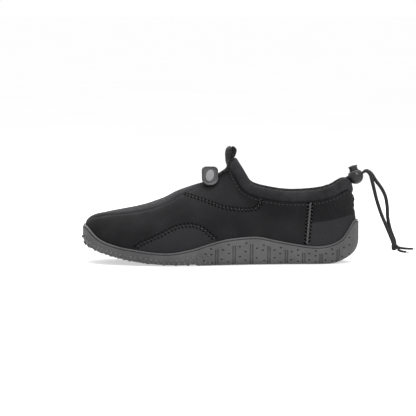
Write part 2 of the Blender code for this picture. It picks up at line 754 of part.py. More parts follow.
def badge_seat():
    """Centre of the badge's back and the directions it faces and stands, clear of the instep."""
    facing = Vector((0.0, -math.sin(BADGE_TILT), math.cos(BADGE_TILT)))
    upward = Vector((0.0, facing.z, -facing.y))
    along = top_point(LATERAL, THROAT_PLACE).x - BADGE_AHEAD
    ridge = Vector((along, 0.0, ridge_height(along)))
    centre = ridge + upward * BADGE_LIFT
    farthest = 0.0
    for step in range(RIDGE_STEPS):
        for point in upper_section(LATERAL, THROAT_PLACE * step / (RIDGE_STEPS - 1)):
            past = point - centre
            if abs(past.x) < BADGE_SPREAD * BADGE_WIDTH and abs(past.dot(upward)) < BADGE_SPREAD * BADGE_LENGTH:
                farthest = max(farthest, past.dot(facing))
    return centre + facing * (farthest + CLEAR), facing, upward


def build_badge(material, parts):
    """Bare rubber badge with a round lower end, against the outer side of the ridge."""
    centre, facing, upward = badge_seat()
    outline = []
    corner = BADGE_CORNER * BADGE_WIDTH
    half = 0.5 * BADGE_WIDTH
    for step in range(BADGE_END_STEPS + 1):
        turn = math.pi + math.pi * step / BADGE_END_STEPS
        outline.append((half * math.cos(turn), -0.5 * BADGE_LENGTH + half + half * math.sin(turn)))
    for start in (0.0, 0.5 * math.pi):
        side = half - corner if start == 0.0 else corner - half
        for step in range(BADGE_CORNER_STEPS + 1):
            turn = start + 0.5 * math.pi * step / BADGE_CORNER_STEPS
            outline.append((side + corner * math.cos(turn),
                            0.5 * BADGE_LENGTH - corner + corner * math.sin(turn)))
    points = []
    for depth in (0.0, BADGE_THICKNESS):
        for along, up in outline:
            points.append(centre + Vector((along, 0.0, 0.0)) + upward * up + facing * depth)
    count = len(outline)
    back = list(range(count))
    front = list(range(count, 2 * count))
    faces = ring_faces(back, front) + [tuple(back), tuple(front)]
    add_object("badge", mesh_from("badge", points, faces), material, parts)


def build_pull_loop(material, parts):
    """Webbing loop that stands up from the ridge in front of the collar."""
    throat = top_point(LATERAL, THROAT_PLACE)
    seat = 0.5 * LOOP_THICKNESS + 2 * CLEAR
    route = [(throat.x + a, ridge_height(throat.x + a) + seat) for a in LOOP_ROOTS]
    route += [(throat.x + a, throat.z + h) for a, h in LOOP_ROUTE]
    line = smooth_line(route, LOOP_STEPS)
    points = []
    for number, spot in enumerate(line):
        before = line[max(number - 1, 0)]
        after = line[min(number + 1, len(line) - 1)]
        run = (after - before) / np.linalg.norm(after - before)
        for across, through in ((-1, -1), (1, -1), (1, 1), (-1, 1)):
            points.append(Vector((spot[0] - through * run[1] * 0.5 * LOOP_THICKNESS,
                                  across * 0.5 * LOOP_WIDTH,
                                  spot[1] + through * run[0] * 0.5 * LOOP_THICKNESS)))
    rings = [list(range(n * 4, n * 4 + 4)) for n in range(len(line))]
    faces = [tuple(rings[0]), tuple(rings[-1])]
    for first, second in zip(rings, rings[1:]):
        faces += ring_faces(first, second)
    add_object("pull_loop", mesh_from("pull_loop", points, faces), material, parts)


def cuff_back_top():
    """Highest point of the cuff at the back of the heel."""
    back = [place for _, place in collar_loop()].index(1.0)
    centre, up, _ = cuff_frames()[back]
    return centre + up * 0.5 * CUFF_HEIGHT


def lock_centre():
    """Centre of the lock's ball, which rests on the cuff at the back."""
    seat = cuff_back_top()
    return Vector((COLLAR_REACH + LOCK_BACK, 0.0, seat.z + CLEAR + LOCK_RADIUS))


def lock_frame():
    """Placement of the lock: its plunger's axis leans towards the toe."""
    return Matrix.Translation(to_world(lock_centre())) @ Matrix.Rotation(-LOCK_LEAN, 4, "Y")


HOLE_HALF_WIDTH = 0.5 * (CORD_SPACING + CORD_DIAMETER) + CLEAR
HOLE_HALF_HEIGHT = 0.5 * CORD_DIAMETER + CLEAR
BORE_BOTTOM = CORD_HOLE_RISE - HOLE_HALF_HEIGHT - PLUNGER_FOOT - PLUNGER_TRAVEL - CLEAR


def primitive_mesh(name, kind, **sizes):
    """A cube, cylinder or ball as a mesh of its own."""
    shape = bmesh.new()
    if kind == "cylinder":
        bmesh.ops.create_cone(shape, cap_ends=True, segments=sizes["sides"], radius1=sizes["radius"],
                              radius2=sizes["radius"], depth=sizes["length"])
    elif kind == "ball":
        bmesh.ops.create_uvsphere(shape, u_segments=sizes["sides"], v_segments=sizes["sides"] // 2,
                                  radius=sizes["radius"])
    else:
        bmesh.ops.create_cube(shape, size=1.0)
        bmesh.ops.scale(shape, vec=sizes["size"], verts=shape.verts)
    bmesh.ops.translate(shape, vec=sizes.get("at", (0, 0, 0)), verts=shape.verts)
    mesh = bpy.data.meshes.new(name)
    shape.to_mesh(mesh)
    shape.free()
    return mesh


def build_lock(material, parts, cutters):
    """Round cord lock: a ball with a bore for the plunger and a cross hole for the cord."""
    frame = lock_frame()
    ball = primitive_mesh("lock_barrel", "ball", sides=LOCK_SIDES, radius=LOCK_RADIUS)
    barrel = add_object("lock_barrel", ball, material, parts)
    barrel.matrix_world = frame
    bore_top = PLUNGER_TOP + LOCK_RADIUS
    bore = primitive_mesh("lock_bore", "cylinder", sides=BORE_SIDES, length=bore_top - BORE_BOTTOM,
                          radius=0.5 * PLUNGER_DIAMETER + CLEAR, at=(0, 0, 0.5 * (bore_top + BORE_BOTTOM)))
    add_tool(barrel, bore, "DIFFERENCE", cutters).matrix_world = frame
    hole = primitive_mesh("lock_hole", "cube", at=(0, 0, CORD_HOLE_RISE),
                          size=(4 * LOCK_RADIUS, 2 * HOLE_HALF_WIDTH, 2 * HOLE_HALF_HEIGHT))
    add_tool(barrel, hole, "DIFFERENCE", cutters).matrix_world = frame

    foot = CORD_HOLE_RISE - HOLE_HALF_HEIGHT - PLUNGER_FOOT
    pin = primitive_mesh("lock_plunger", "cylinder", sides=BORE_SIDES, radius=0.5 * PLUNGER_DIAMETER,
                         length=PLUNGER_TOP - foot, at=(0, 0, 0.5 * (PLUNGER_TOP + foot)))
    plunger = add_object("lock_plunger", pin, material, parts)
    plunger.matrix_world = frame
    slot_low = CORD_HOLE_RISE - HOLE_HALF_HEIGHT
    slot_high = CORD_HOLE_RISE + HOLE_HALF_HEIGHT + PLUNGER_TRAVEL
    slot = primitive_mesh("plunger_slot", "cube", at=(0, 0, 0.5 * (slot_low + slot_high)),
                          size=(4 * LOCK_RADIUS, 2 * HOLE_HALF_WIDTH, slot_high - slot_low))
    add_tool(plunger, slot, "DIFFERENCE", cutters).matrix_world = frame


def strand_line(number):
    """Line of one strand, from the cuff through the lock and down to the knot."""
    centre = lock_centre()
    side = -1 if number == 0 else 1
    across = side * 0.5 * CORD_SPACING
    axis = Vector((-math.sin(LOCK_LEAN), 0.0, math.cos(LOCK_LEAN)))
    through = Vector((math.cos(LOCK_LEAN), 0.0, math.sin(LOCK_LEAN)))
    seat = cuff_back_top()
    hole = centre + axis * CORD_HOLE_RISE + Vector((0.0, across, 0.0))
    route = [Vector((centre.x + behind, across, seat.z + above)) for behind, above in STRAND_ROOTS]
    route += [hole + through * LOCK_RADIUS * share for share in (-1.0, -0.5, 0.0, 0.5, 1.0)]
    route += [Vector((centre.x + b, a, h)) for b, a, h in STRAND_ROUTES[number]]
    return resample(smooth_line([tuple(p) for p in route], LINE_STEPS), STRAND_POINTS)


def build_drawcord(material, parts):
    """Two strands of elastic cord, their knot and its two ends."""
    centre = lock_centre()
    knot_at = Vector((centre.x + KNOT_BEHIND, 0.0, KNOT_HEIGHT))
    for number in range(2):
        name = f"drawcord_strand_{number + 1}"
        mesh = tube_mesh(name, strand_line(number), 0.5 * CORD_DIAMETER, CORD_RESOLUTION)
        add_object(name, mesh, material, parts)
    knot = primitive_mesh("drawcord_knot", "ball", sides=KNOT_SIDES, radius=0.5 * KNOT_DIAMETER)
    add_object("drawcord_knot", knot, material, parts).matrix_world = Matrix.Translation(to_world(knot_at))
    for number, rows in enumerate(TAIL_ROUTES):
        line = resample(smooth_line([tuple(knot_at + Vector(row)) for row in rows], LINE_STEPS), TAIL_POINTS)
        name = f"drawcord_end_{number + 1}"
        mesh = tube_mesh(name, line, 0.5 * TAIL_DIAMETER, CORD_RESOLUTION)
        add_object(name, mesh, material, parts)


def shade_round(things):
    """Smooth shading with sharp edges where faces turn by more than the round angle."""
    for thing in things:
        thing.data.shade_smooth()
        thing.data.set_sharp_from_angle(angle=ROUND_ANGLE)


def main():
    """Builds the shoe in an emptied scene."""
    for thing in list(bpy.data.objects):
        bpy.data.objects.remove(thing)
    parts = bpy.data.collections.new(OBJECT_NAME)
    cutters = bpy.data.collections.new(OBJECT_NAME + "_cutters")
    bpy.context.scene.collection.children.link(parts)
    bpy.context.scene.collection.children.link(cutters)

    rubber = add_material("grey_rubber", (0.135, 0.135, 0.140), 0.72)
    neoprene = add_material("black_neoprene", (0.018, 0.018, 0.020), 0.85)
    lining = add_material("insole_cloth", (0.030, 0.030, 0.033), 0.90)
    knit = add_material("cuff_knit", (0.022, 0.022, 0.024), 0.80)
    badge_rubber = add_material("badge_rubber", (0.300, 0.300, 0.310), 0.50)
    webbing = add_material("black_webbing", (0.020, 0.020, 0.022), 0.80)
    plastic = add_material("black_plastic", (0.040, 0.040, 0.043), 0.35)
    elastic = add_material("black_elastic", (0.018, 0.018, 0.020), 0.75)

    build_outsole(rubber, parts, cutters)
    build_insole(lining, parts)
    build_upper(neoprene, parts)
    build_cuff(knit, parts)
    build_badge(badge_rubber, parts)
    build_pull_loop(webbing, parts)
    build_lock(plastic, parts, cutters)
    build_drawcord(elastic, parts)
    shade_round(parts.objects)


main()
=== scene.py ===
"""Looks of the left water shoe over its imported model, in metres: toe to -X, outer side to -Y."""
import math

import bmesh
import bpy
import numpy as np
from mathutils import Matrix, Vector, noise
from mathutils.bvhtree import BVHTree


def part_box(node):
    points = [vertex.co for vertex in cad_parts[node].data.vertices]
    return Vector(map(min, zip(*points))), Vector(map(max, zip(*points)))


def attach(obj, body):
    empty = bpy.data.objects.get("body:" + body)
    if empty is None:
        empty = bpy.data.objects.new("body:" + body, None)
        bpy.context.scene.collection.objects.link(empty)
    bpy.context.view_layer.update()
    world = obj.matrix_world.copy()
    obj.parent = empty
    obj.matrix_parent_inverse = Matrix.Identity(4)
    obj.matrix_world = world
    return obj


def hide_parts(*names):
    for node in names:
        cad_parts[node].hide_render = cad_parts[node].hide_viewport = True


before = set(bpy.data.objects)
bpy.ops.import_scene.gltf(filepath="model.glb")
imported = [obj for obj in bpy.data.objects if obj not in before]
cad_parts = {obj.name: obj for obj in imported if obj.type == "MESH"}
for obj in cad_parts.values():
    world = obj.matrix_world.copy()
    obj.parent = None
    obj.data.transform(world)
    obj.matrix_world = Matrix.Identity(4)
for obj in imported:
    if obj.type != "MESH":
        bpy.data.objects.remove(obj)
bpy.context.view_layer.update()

# Sizes of the shoe, as in its source
CLEAR = 0.0003
SOLE_LENGTH = 0.276
BALL_WIDTH = 0.099
HEEL_WIDTH = 0.067
TOE_SPRING = 0.016
SPRING_LENGTH = 0.095
SPRING_POWER = 2.2
HEEL_LIFT = 0.012
HEEL_LIFT_LENGTH = 0.032
SOLE_FLOOR = 0.0065
RIM_HEIGHT = 0.0277
RIM_WALL = 0.0026
EDGE_ROUND = 0.005
TOE_EDGE_GROWTH = (0.6, 0.8)
TOE_EDGE_LENGTH = 0.03
HEEL_EDGE_GROWTH = (0.6, 1.2)
HEEL_EDGE_LENGTH = 0.038
ARCH_TUCK = 0.007
LIP_HEIGHT = 0.0022
LIP_STEP = 0.0008
RELIEF = 0.0011
RECESS_END = 0.1125
RECESS_STEP = 0.003
RIB_GAP = 0.0034
GROOVE_PITCH = 0.0172
GROOVE_COUNT = 8
GROOVE_START = 0.134
GROOVE_BELOW_RIM = 0.005
WALL = 0.003
INSTEP_HEIGHT = 0.0936
ANKLE_HEIGHT = 0.0607
HEEL_HEIGHT = 0.066
COLLAR_WIDTH = 0.045
COLLAR_REACH = 0.2685
INSOLE_THICKNESS = 0.003
CUFF_HEIGHT = 0.0112
CUFF_THICKNESS = 0.0066
THROAT_EASE = 0.0014
THROAT_EASE_REACH = 0.02
LOCK_RADIUS = 0.0075
LOCK_BACK = 0.0043
LOCK_LEAN = math.radians(17)
CORD_DIAMETER = 0.0025
CORD_SPACING = 0.0029
CORD_HOLE_RISE = 0.0015
TAIL_DIAMETER = 0.0016
SIDES = LATERAL, MEDIAL = -1, 1

# Shares of the sole's length and of its local width
LATERAL_PLAN = (
    (0.01, 0.109), (0.034, 0.237), (0.081, 0.362), (0.148, 0.457), (0.215, 0.524),
    (0.281, 0.565), (0.344, 0.571), (0.417, 0.55), (0.507, 0.528), (0.598, 0.532),
    (0.688, 0.546), (0.779, 0.53), (0.851, 0.507), (0.913, 0.425), (0.964, 0.261),
    (0.993, 0.104),
)
MEDIAL_PLAN = (
    (0.005, 0.146), (0.029, 0.26), (0.067, 0.345), (0.12, 0.393), (0.196, 0.424),
    (0.301, 0.415), (0.384, 0.388), (0.46, 0.363), (0.543, 0.372), (0.634, 0.419),
    (0.725, 0.474), (0.797, 0.485), (0.87, 0.463), (0.928, 0.381), (0.971, 0.224),
    (0.995, 0.097),
)
RIM_ROWS = (
    (0.0, 0.79), (0.014, 0.76), (0.058, 0.52), (0.126, 0.458), (0.193, 0.464),
    (0.261, 0.45), (0.326, 0.465), (0.399, 0.596), (0.46, 0.776), (0.514, 0.913),
    (0.569, 0.98), (0.634, 1.0), (0.707, 0.85), (0.783, 0.708), (0.833, 0.645),
    (0.884, 0.671), (0.935, 0.86), (0.96, 1.13), (0.986, 1.51), (1.0, 1.55),
)
TUCK_ROWS = (
    (0.0, 0.0, 0.0), (0.36, 0.0, 0.0), (0.44, 0.15, 0.7), (0.54, 0.3, 1.0),
    (0.78, 0.2, 1.0), (0.87, 0.05, 0.45), (0.94, 0.0, 0.0), (1.0, 0.0, 0.0),
)
EDGE_ROWS = ((1.0, 1.0, 0.0), (0.72, 0.9, 0.04), (0.45, 0.8, 0.15), (0.25, 0.67, 0.3),
             (0.12, 0.55, 0.5), (0.04, 0.4, 0.74), (0.0, 0.25, 1.0))
UPPER_ROWS = (
    (0.0, 0.063, 0.51, 0.5, 0.48, 0.0),
    (0.08, 0.089, 0.534, 0.55, 0.55, 0.0),
    (0.137, 0.127, 0.556, 0.6, 0.62, 0.0),
    (0.2, 0.179, 0.586, 0.58, 0.62, 0.0),
    (0.263, 0.235, 0.622, 0.56, 0.6, 0.0),
    (0.32, 0.294, 0.682, 0.55, 0.58, 0.0),
    (0.377, 0.354, 0.765, 0.56, 0.48, 0.04),
    (0.44, 0.417, 0.826, 0.56, 0.38, 0.12),
    (0.49, 0.466, 0.868, 0.55, 0.3, 0.2),
    (0.54, 0.51, 0.936, 0.52, 0.26, 0.23),
    (0.575, 0.542, 1.0, 0.48, 0.22, 0.24),
)
COLLAR_ROWS = (
    (0.575, 0.542, 0.0, 1.0, 0.0, 0.48, 0.22, 0.24),
    (0.588, 0.547, 0.29, 0.93, 0.0, 0.45, 0.18, 0.25),
    (0.604, 0.561, 0.5, 0.74, 0.0, 0.43, 0.13, 0.29),
    (0.63, 0.59, 0.69, 0.39, 0.0, 0.4, 0.11, 0.32),
    (0.66, 0.628, 0.84, 0.2, 0.0, 0.39, 0.1, 0.34),
    (0.7, 0.691, 0.96, 0.07, 0.0, 0.38, 0.1, 0.36),
    (0.75, 0.767, 1.0, 0.0, 0.0, 0.38, 0.1, 0.37),
    (0.786, 0.838, 1.0, 0.0, 0.06, 0.38, 0.08, 0.38),
    (0.83, 0.899, 0.9, 0.0, 0.5, 0.38, 0.06, 0.38),
    (0.88, 0.947, 0.71, 0.0, 1.3, 0.38, 0.04, 0.38),
    (0.93, 0.979, 0.47, 0.0, 2.1, 0.38, 0.02, 0.38),
    (0.965, 0.994, 0.25, 0.0, 1.4, 0.38, 0.0, 0.38),
    (1.0, 1.0, 0.0, 0.0, 1.0, 0.38, 0.0, 0.38),
)
THROAT_PLACE = 0.575
RIB_LOOPS = (
    ((0.054, -0.007), (0.136, 0.129), (0.214, 0.171), (0.292, 0.181), (0.345, 0.169),
     (0.395, 0.095), (0.368, -0.096), (0.367, -0.203), (0.386, -0.33), (0.366, -0.42),
     (0.304, -0.425), (0.224, -0.372), (0.171, -0.3), (0.103, -0.175)),
    ((0.087, -0.018), (0.122, 0.055), (0.215, 0.098), (0.308, 0.101), (0.355, 0.069),
     (0.335, -0.093), (0.336, -0.204), (0.348, -0.29), (0.314, -0.34), (0.223, -0.285),
     (0.142, -0.17), (0.093, -0.074)),
    ((0.121, -0.033), (0.152, 0.001), (0.217, 0.028), (0.283, 0.046), (0.322, 0.019),
     (0.306, -0.125), (0.306, -0.215), (0.29, -0.252), (0.25, -0.235), (0.195, -0.18),
     (0.141, -0.089)),
)
WAVE_ROWS = (
    (0.11, -0.1), (0.27, -0.44), (0.34, -0.62), (0.44, -0.75), (0.53, -0.68),
    (0.66, -0.35), (0.78, -0.08), (0.9, 0.0),
)
LOOP_ROOTS = (-0.009, -0.007, -0.005)
STRAND_ROOTS = ((-0.0112, 0.00185), (-0.0108, 0.0045))
STRAND_ROUTES = (
    ((0.0102, -0.0015, 0.0908), (0.014, -0.0015, 0.0882), (0.0166, -0.0017, 0.08),
     (0.019, -0.0019, 0.07), (0.0216, -0.002, 0.06), (0.0256, -0.002, 0.048),
     (0.0312, -0.0018, 0.0346), (0.0358, -0.0018, 0.0236), (0.0378, -0.0015, 0.0182)),
    ((0.0104, 0.0015, 0.0912), (0.015, 0.0015, 0.0888), (0.0202, 0.0017, 0.0812),
     (0.0262, 0.002, 0.073), (0.03, 0.0021, 0.065), (0.0318, 0.0021, 0.055),
     (0.0324, 0.002, 0.044), (0.035, 0.002, 0.032), (0.0396, 0.0015, 0.0186)),
)
KNOT_BEHIND = 0.0393
KNOT_HEIGHT = 0.0146
TAIL_ROUTES = (
    ((0.0034, 0.0004, -0.0004), (0.008, 0.0012, -0.0014), (0.013, 0.001, -0.0018),
     (0.0185, 0.0004, -0.002)),
    ((0.003, -0.0008, -0.0024), (0.006, -0.0014, -0.004), (0.009, -0.0014, -0.0046),
     (0.0116, -0.001, -0.005)),
)


def smooth_step(value, low, high):
    share = np.clip((value - low) / (high - low), 0.0, 1.0)
    return share * share * (3.0 - 2.0 * share)


def smooth_line(points, per_span, closed=False):
    """Smooth curve through the points."""
    pts = [np.array(tuple(p), dtype=float) for p in points]
    if closed:
        pts = [pts[-1]] + pts + [pts[0], pts[1]]
    else:
        pts = [2 * pts[0] - pts[1]] + pts + [2 * pts[-1] - pts[-2]]
    line = []
    for p0, p1, p2, p3 in zip(pts, pts[1:], pts[2:], pts[3:]):
        t1 = math.sqrt(np.linalg.norm(p1 - p0))
        t2 = t1 + math.sqrt(np.linalg.norm(p2 - p1))
        t3 = t2 + math.sqrt(np.linalg.norm(p3 - p2))
        for step in range(per_span):
            t = t1 + (t2 - t1) * step / per_span
            a1 = (t1 - t) / t1 * p0 + t / t1 * p1
            a2 = (t2 - t) / (t2 - t1) * p1 + (t - t1) / (t2 - t1) * p2
            a3 = (t3 - t) / (t3 - t2) * p2 + (t - t2) / (t3 - t2) * p3
            b1 = (t2 - t) / t2 * a1 + t / t2 * a2
            b2 = (t3 - t) / (t3 - t1) * a2 + (t - t1) / (t3 - t1) * a3
            line.append((t2 - t) / (t2 - t1) * b1 + (t - t1) / (t2 - t1) * b2)
    if not closed:
        line.append(pts[-2])
    return np.array(line)


def as_rows(points):
    return np.array([tuple(p) for p in points])


def line_steps(line):
    """Length along a line at each of its points."""
    return np.concatenate(([0.0], np.cumsum(np.linalg.norm(np.diff(line, axis=0), axis=1))))


def resample(line, count):
    """Places count points evenly along a line."""
    steps = line_steps(line)
    places = np.linspace(0.0, steps[-1], count)
    return np.stack([np.interp(places, steps, column) for column in line.T], axis=1)


def read_rows(rows, place, column):
    """Reads a column of a table at a place, softly between the rows."""
    keys = [row[0] for row in rows]
    values = [row[column] for row in rows]
    index = int(np.clip(np.searchsorted(keys, place) - 1, 0, len(keys) - 2))

    def slope(at):
        low, high = max(at - 1, 0), min(at + 1, len(keys) - 1)
        return (values[high] - values[low]) / (keys[high] - keys[low])

    width = keys[index + 1] - keys[index]
    t = min(max((place - keys[index]) / width, 0.0), 1.0)
    return ((2 * t ** 3 - 3 * t ** 2 + 1) * values[index]
            + (t ** 3 - 2 * t ** 2 + t) * width * slope(index)
            + (3 * t ** 2 - 2 * t ** 3) * values[index + 1]
            + (t ** 3 - t ** 2) * width * slope(index + 1))


def plan_half(rows, side):
    """One half of the plan from the toe tip to the back of the heel."""
    return [(a * SOLE_LENGTH, side * w * (
        BALL_WIDTH + (HEEL_WIDTH - BALL_WIDTH) * float(smooth_step(a, 0.4, 0.75))))
            for a, w in rows]


lateral_half = plan_half(LATERAL_PLAN, LATERAL)
medial_half = plan_half(MEDIAL_PLAN, MEDIAL)
plan_points = [(0.0, 0.0)] + lateral_half + [(SOLE_LENGTH, 0.0)] + medial_half[::-1]
PLAN_SPAN = 16
plan_loop = smooth_line(plan_points, PLAN_SPAN, True)
heel_at = PLAN_SPAN * (len(lateral_half) + 1)
OUTLINES = {LATERAL: resample(plan_loop[:heel_at + 1], 400),
            MEDIAL: resample(np.vstack((plan_loop[heel_at:], plan_loop[:1]))[::-1], 400)}
OUTLINE_LENGTH = {side: line_steps(line)[-1] for side, line in OUTLINES.items()}
plan_sides = float(OUTLINES[MEDIAL][:, 1].max()), float(OUTLINES[LATERAL][:, 1].min())
SHIFT = Vector((0.5 * (COLLAR_REACH + LOCK_BACK + LOCK_RADIUS), 0.5 * sum(plan_sides), 0.0))


def outline_point(side, place):
    """Point of the plan at a share of its half outline, and its outward direction."""
    line = OUTLINES[side]
    spot = place * (len(line) - 1)
    index = np.arange(len(line))
    point = np.array([np.interp(spot, index, line[:, axis]) for axis in (0, 1)])
    if place <= 0.0:
        return point, np.array([-1.0, 0.0])
    if place >= 1.0:
        return point, np.array([1.0, 0.0])
    before, after = [np.array([np.interp(spot + d, index, line[:, axis]) for axis in (0, 1)])
                     for d in (-2, 2)]
    run = after - before
    out = np.array([run[1], -run[0]]) * -side
    return point, out / np.linalg.norm(out)


def place_at(side, along):
    line = OUTLINES[side]
    return float(np.interp(along, line[:, 0], np.linspace(0.0, 1.0, len(line))))


def spring(along):
    return TOE_SPRING * max(1.0 - along / SPRING_LENGTH, 0.0) ** SPRING_POWER


def heel_rise(along):
    return HEEL_LIFT * max((along - SOLE_LENGTH + HEEL_LIFT_LENGTH) / HEEL_LIFT_LENGTH, 0.0) ** 2


def face_height(along):
    recess = 1.0 - float(smooth_step(along, RECESS_END, RECESS_END + RECESS_STEP))
    return spring(along) + RELIEF * recess + heel_rise(along)


def cup_height(along):
    return spring(along) + SOLE_FLOOR + heel_rise(along)


def rim_height(along):
    return spring(along) + RIM_HEIGHT * read_rows(RIM_ROWS, along / SOLE_LENGTH, 1)


def inset_point(side, place, inset, height):
    point, out = outline_point(side, place)
    moved = point - out * inset
    return Vector((moved[0], moved[1], height(point[0])))


def floor_point(side, place, inset, height):
    """The same, at the height of the place where the point ends up."""
    moved = inset_point(side, place, inset, height)
    return Vector((moved.x, moved.y, height(moved.x)))


def edge_rounding(along):
    toe = 1.0 - float(smooth_step(along, 0.0, TOE_EDGE_LENGTH))
    heel = float(smooth_step(along, SOLE_LENGTH - HEEL_EDGE_LENGTH, SOLE_LENGTH))
    return [EDGE_ROUND * (1.0 + toe * more_toe + heel * more_heel)
            for more_toe, more_heel in zip(TOE_EDGE_GROWTH, HEEL_EDGE_GROWTH)]


def top_point(side, place):
    """Point of the ridge over the toes, or of the collar's edge."""
    if place <= THROAT_PLACE:
        return Vector((COLLAR_REACH * read_rows(UPPER_ROWS, place, 1), 0.0,
                       INSTEP_HEIGHT * read_rows(UPPER_ROWS, place, 2)))
    height = (ANKLE_HEIGHT + read_rows(COLLAR_ROWS, place, 3) * (INSTEP_HEIGHT - ANKLE_HEIGHT)
              + read_rows(COLLAR_ROWS, place, 4) * (HEEL_HEIGHT - ANKLE_HEIGHT))
    return Vector((COLLAR_REACH * read_rows(COLLAR_ROWS, place, 1),
                   side * 0.5 * COLLAR_WIDTH * read_rows(COLLAR_ROWS, place, 2), height))


def upper_section(side, place, steps):
    """Points up the upper's outer face at one station, from the rim to the top line."""
    inset = RIM_WALL + CLEAR
    foot = floor_point(side, place, inset, lambda x: cup_height(x) + CLEAR)
    rim = inset_point(side, place, inset, rim_height)
    top = top_point(side, place)
    rows, first = (UPPER_ROWS, 3) if place <= THROAT_PLACE else (COLLAR_ROWS, 5)
    up, out, down = [read_rows(rows, place, first + n) for n in range(3)]
    rise = Vector((0.0, 0.0, top.z - rim.z))
    low_handle = rim + rise * up
    high_handle = top + Vector((rim.x - top.x, rim.y - top.y, 0.0)) * out - rise * down
    section = [foot, foot.lerp(rim, 0.5)]
    for step in range(steps + 1):
        t = step / steps
        section.append((1 - t) ** 3 * rim + 3 * t * (1 - t) ** 2 * low_handle
                       + 3 * t * t * (1 - t) * high_handle + t ** 3 * top)
    return section


def ridge_height(along):
    ridge = [top_point(LATERAL, THROAT_PLACE * step / 120) for step in range(121)]
    return float(np.interp(along, [p.x for p in ridge], [p.z for p in ridge]))


# Camera at the photograph's angle
CAMERA_FAR = 3.0
CAMERA_LIFT = math.radians(4.0)
SENSOR_WIDTH = 36.0
FRAME_WIDTH = 0.416
AIM = Vector((-0.01485, 0.00725, 0.05365))


def link_object(name, data, spot=None, aim=None):
    """A new object in the scene, turned from a spot towards an aim."""
    made = bpy.data.objects.new(name, data)
    bpy.context.scene.collection.objects.link(made)
    if aim is not None:
        made.location = spot
        made.rotation_mode = "QUATERNION"
        made.rotation_quaternion = (Vector(aim) - Vector(spot)).to_track_quat("-Z", "Y")
    return made


eye = AIM + CAMERA_FAR * Vector((0.0, -math.cos(CAMERA_LIFT), math.sin(CAMERA_LIFT)))
camera = link_object("camera", bpy.data.cameras.new("camera"), eye, AIM)
camera.data.sensor_width = SENSOR_WIDTH
camera.data.lens = SENSOR_WIDTH * CAMERA_FAR / FRAME_WIDTH
camera.data.clip_end = 100.0
bpy.context.scene.camera = camera
bpy.context.scene.view_settings.view_transform = "Standard"


class Shader:
    """A Principled material that is put together with few words."""

    def __init__(self, name, roughness=0.8, **values):
        self.material = bpy.data.materials.new(name)
        self.material.use_nodes = True
        self.tree = self.material.node_tree
        self.main = self.tree.nodes["Principled BSDF"]
        self.main.inputs["Roughness"].default_value = roughness
        for key, value in values.items():
            self.main.inputs[key.replace("_", " ")].default_value = value
        self.place = self.node("TexCoord").outputs["Object"]

    def plug(self, socket, value):
        """Links a node's output to a socket, or sets the socket's own value."""
        if isinstance(value, bpy.types.NodeSocket):
            self.tree.links.new(value, socket)
        else:
            socket.default_value = value

    def node(self, kind, inputs=(), **fields):
        made = self.tree.nodes.new("ShaderNode" + kind)
        for key, value in fields.items():
            setattr(made, key, value)
        for key, value in dict(inputs).items():
            self.plug(made.inputs[key], value)
        return made

    def math(self, operation, first, second):
        return self.node("Math", {0: first, 1: second}, operation=operation).outputs[0]

    def times(self, first, second):
        return self.math("MULTIPLY", first, second)

    def attribute(self, name, output="Fac"):
        return self.node("Attribute", attribute_name=name).outputs[output]

    def noise(self, scale, detail=2.0, rough=0.5):
        inputs = {"Vector": self.place, "Scale": scale, "Detail": detail, "Roughness": rough}
        return self.node("TexNoise", inputs).outputs["Fac"]

    def bands(self, scale, axis, vector=None):
        inputs = {"Vector": vector or self.place, "Scale": scale}
        return self.node("TexWave", inputs, bands_direction=axis).outputs["Fac"]

    def threads(self, pitch, axis):
        """Bands on the piece's own cloth coordinates, with a pitch in metres."""
        return self.bands(1.0 / pitch / 3.14, axis, self.attribute("cloth", "Vector"))

    def range(self, value, low, high, out_low=0.0, out_high=1.0):
        inputs = {0: value, 1: low, 2: high, 3: out_low, 4: out_high}
        return self.node("MapRange", inputs, interpolation_type="SMOOTHSTEP").outputs[0]

    def zone(self, name, edge):
        """The inside of an area that is kept on the mesh, with a soft edge in millimetres."""
        return self.range(self.attribute(name), -edge, edge)

    def mix(self, share, first, second, blend="MIX"):
        inputs = {0: share, 6: first, 7: second}
        return self.node("Mix", inputs, data_type="RGBA", blend_type=blend).outputs[2]

    def shade(self, colour, factor):
        """The colour made darker or lighter by a factor from a node."""
        grey_factor = self.node("CombineXYZ", {0: factor, 1: factor, 2: factor}).outputs[0]
        return self.mix(1.0, colour, grey_factor, "MULTIPLY")

    def bump(self, height, strength, distance, below=None):
        inputs = {"Height": height, "Strength": strength, "Distance": distance}
        if below:
            inputs["Normal"] = below
        return self.node("Bump", inputs).outputs["Normal"]

    def finish(self, colour, normal=None, rough=None):
        for key, value in (("Base Color", colour), ("Normal", normal), ("Roughness", rough)):
            if value is not None:
                self.plug(self.main.inputs[key], value)
        return self.material


def settle(piece, body, replaced=None):
    """Says what a finished piece rides on, and hides the CAD node that it replaces."""
    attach(piece, body)
    if replaced:
        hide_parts(replaced)
    return piece


def raw_piece(name, shape, look=None):
    """A mesh object of points in the shoe's coordinates and faces."""
    points, faces = shape
    mesh = bpy.data.meshes.new(name)
    mesh.from_pydata([tuple(Vector(p) - SHIFT) for p in points], [], faces)
    work = bmesh.new()
    work.from_mesh(mesh)
    bmesh.ops.recalc_face_normals(work, faces=work.faces)
    work.to_mesh(mesh)
    work.free()
    if look:
        mesh.materials.append(look)
    return link_object(name, mesh)


def set_values(piece, name, values):
    """Keeps a number or a vector for each point of the mesh, for its material."""
    values = np.asarray(values, dtype=np.float32)
    kind, field = ("FLOAT", "value") if values.ndim == 1 else ("FLOAT_VECTOR", "vector")
    made = piece.data.attributes.new(name, kind, "POINT")
    made.data.foreach_set(field, values.ravel())


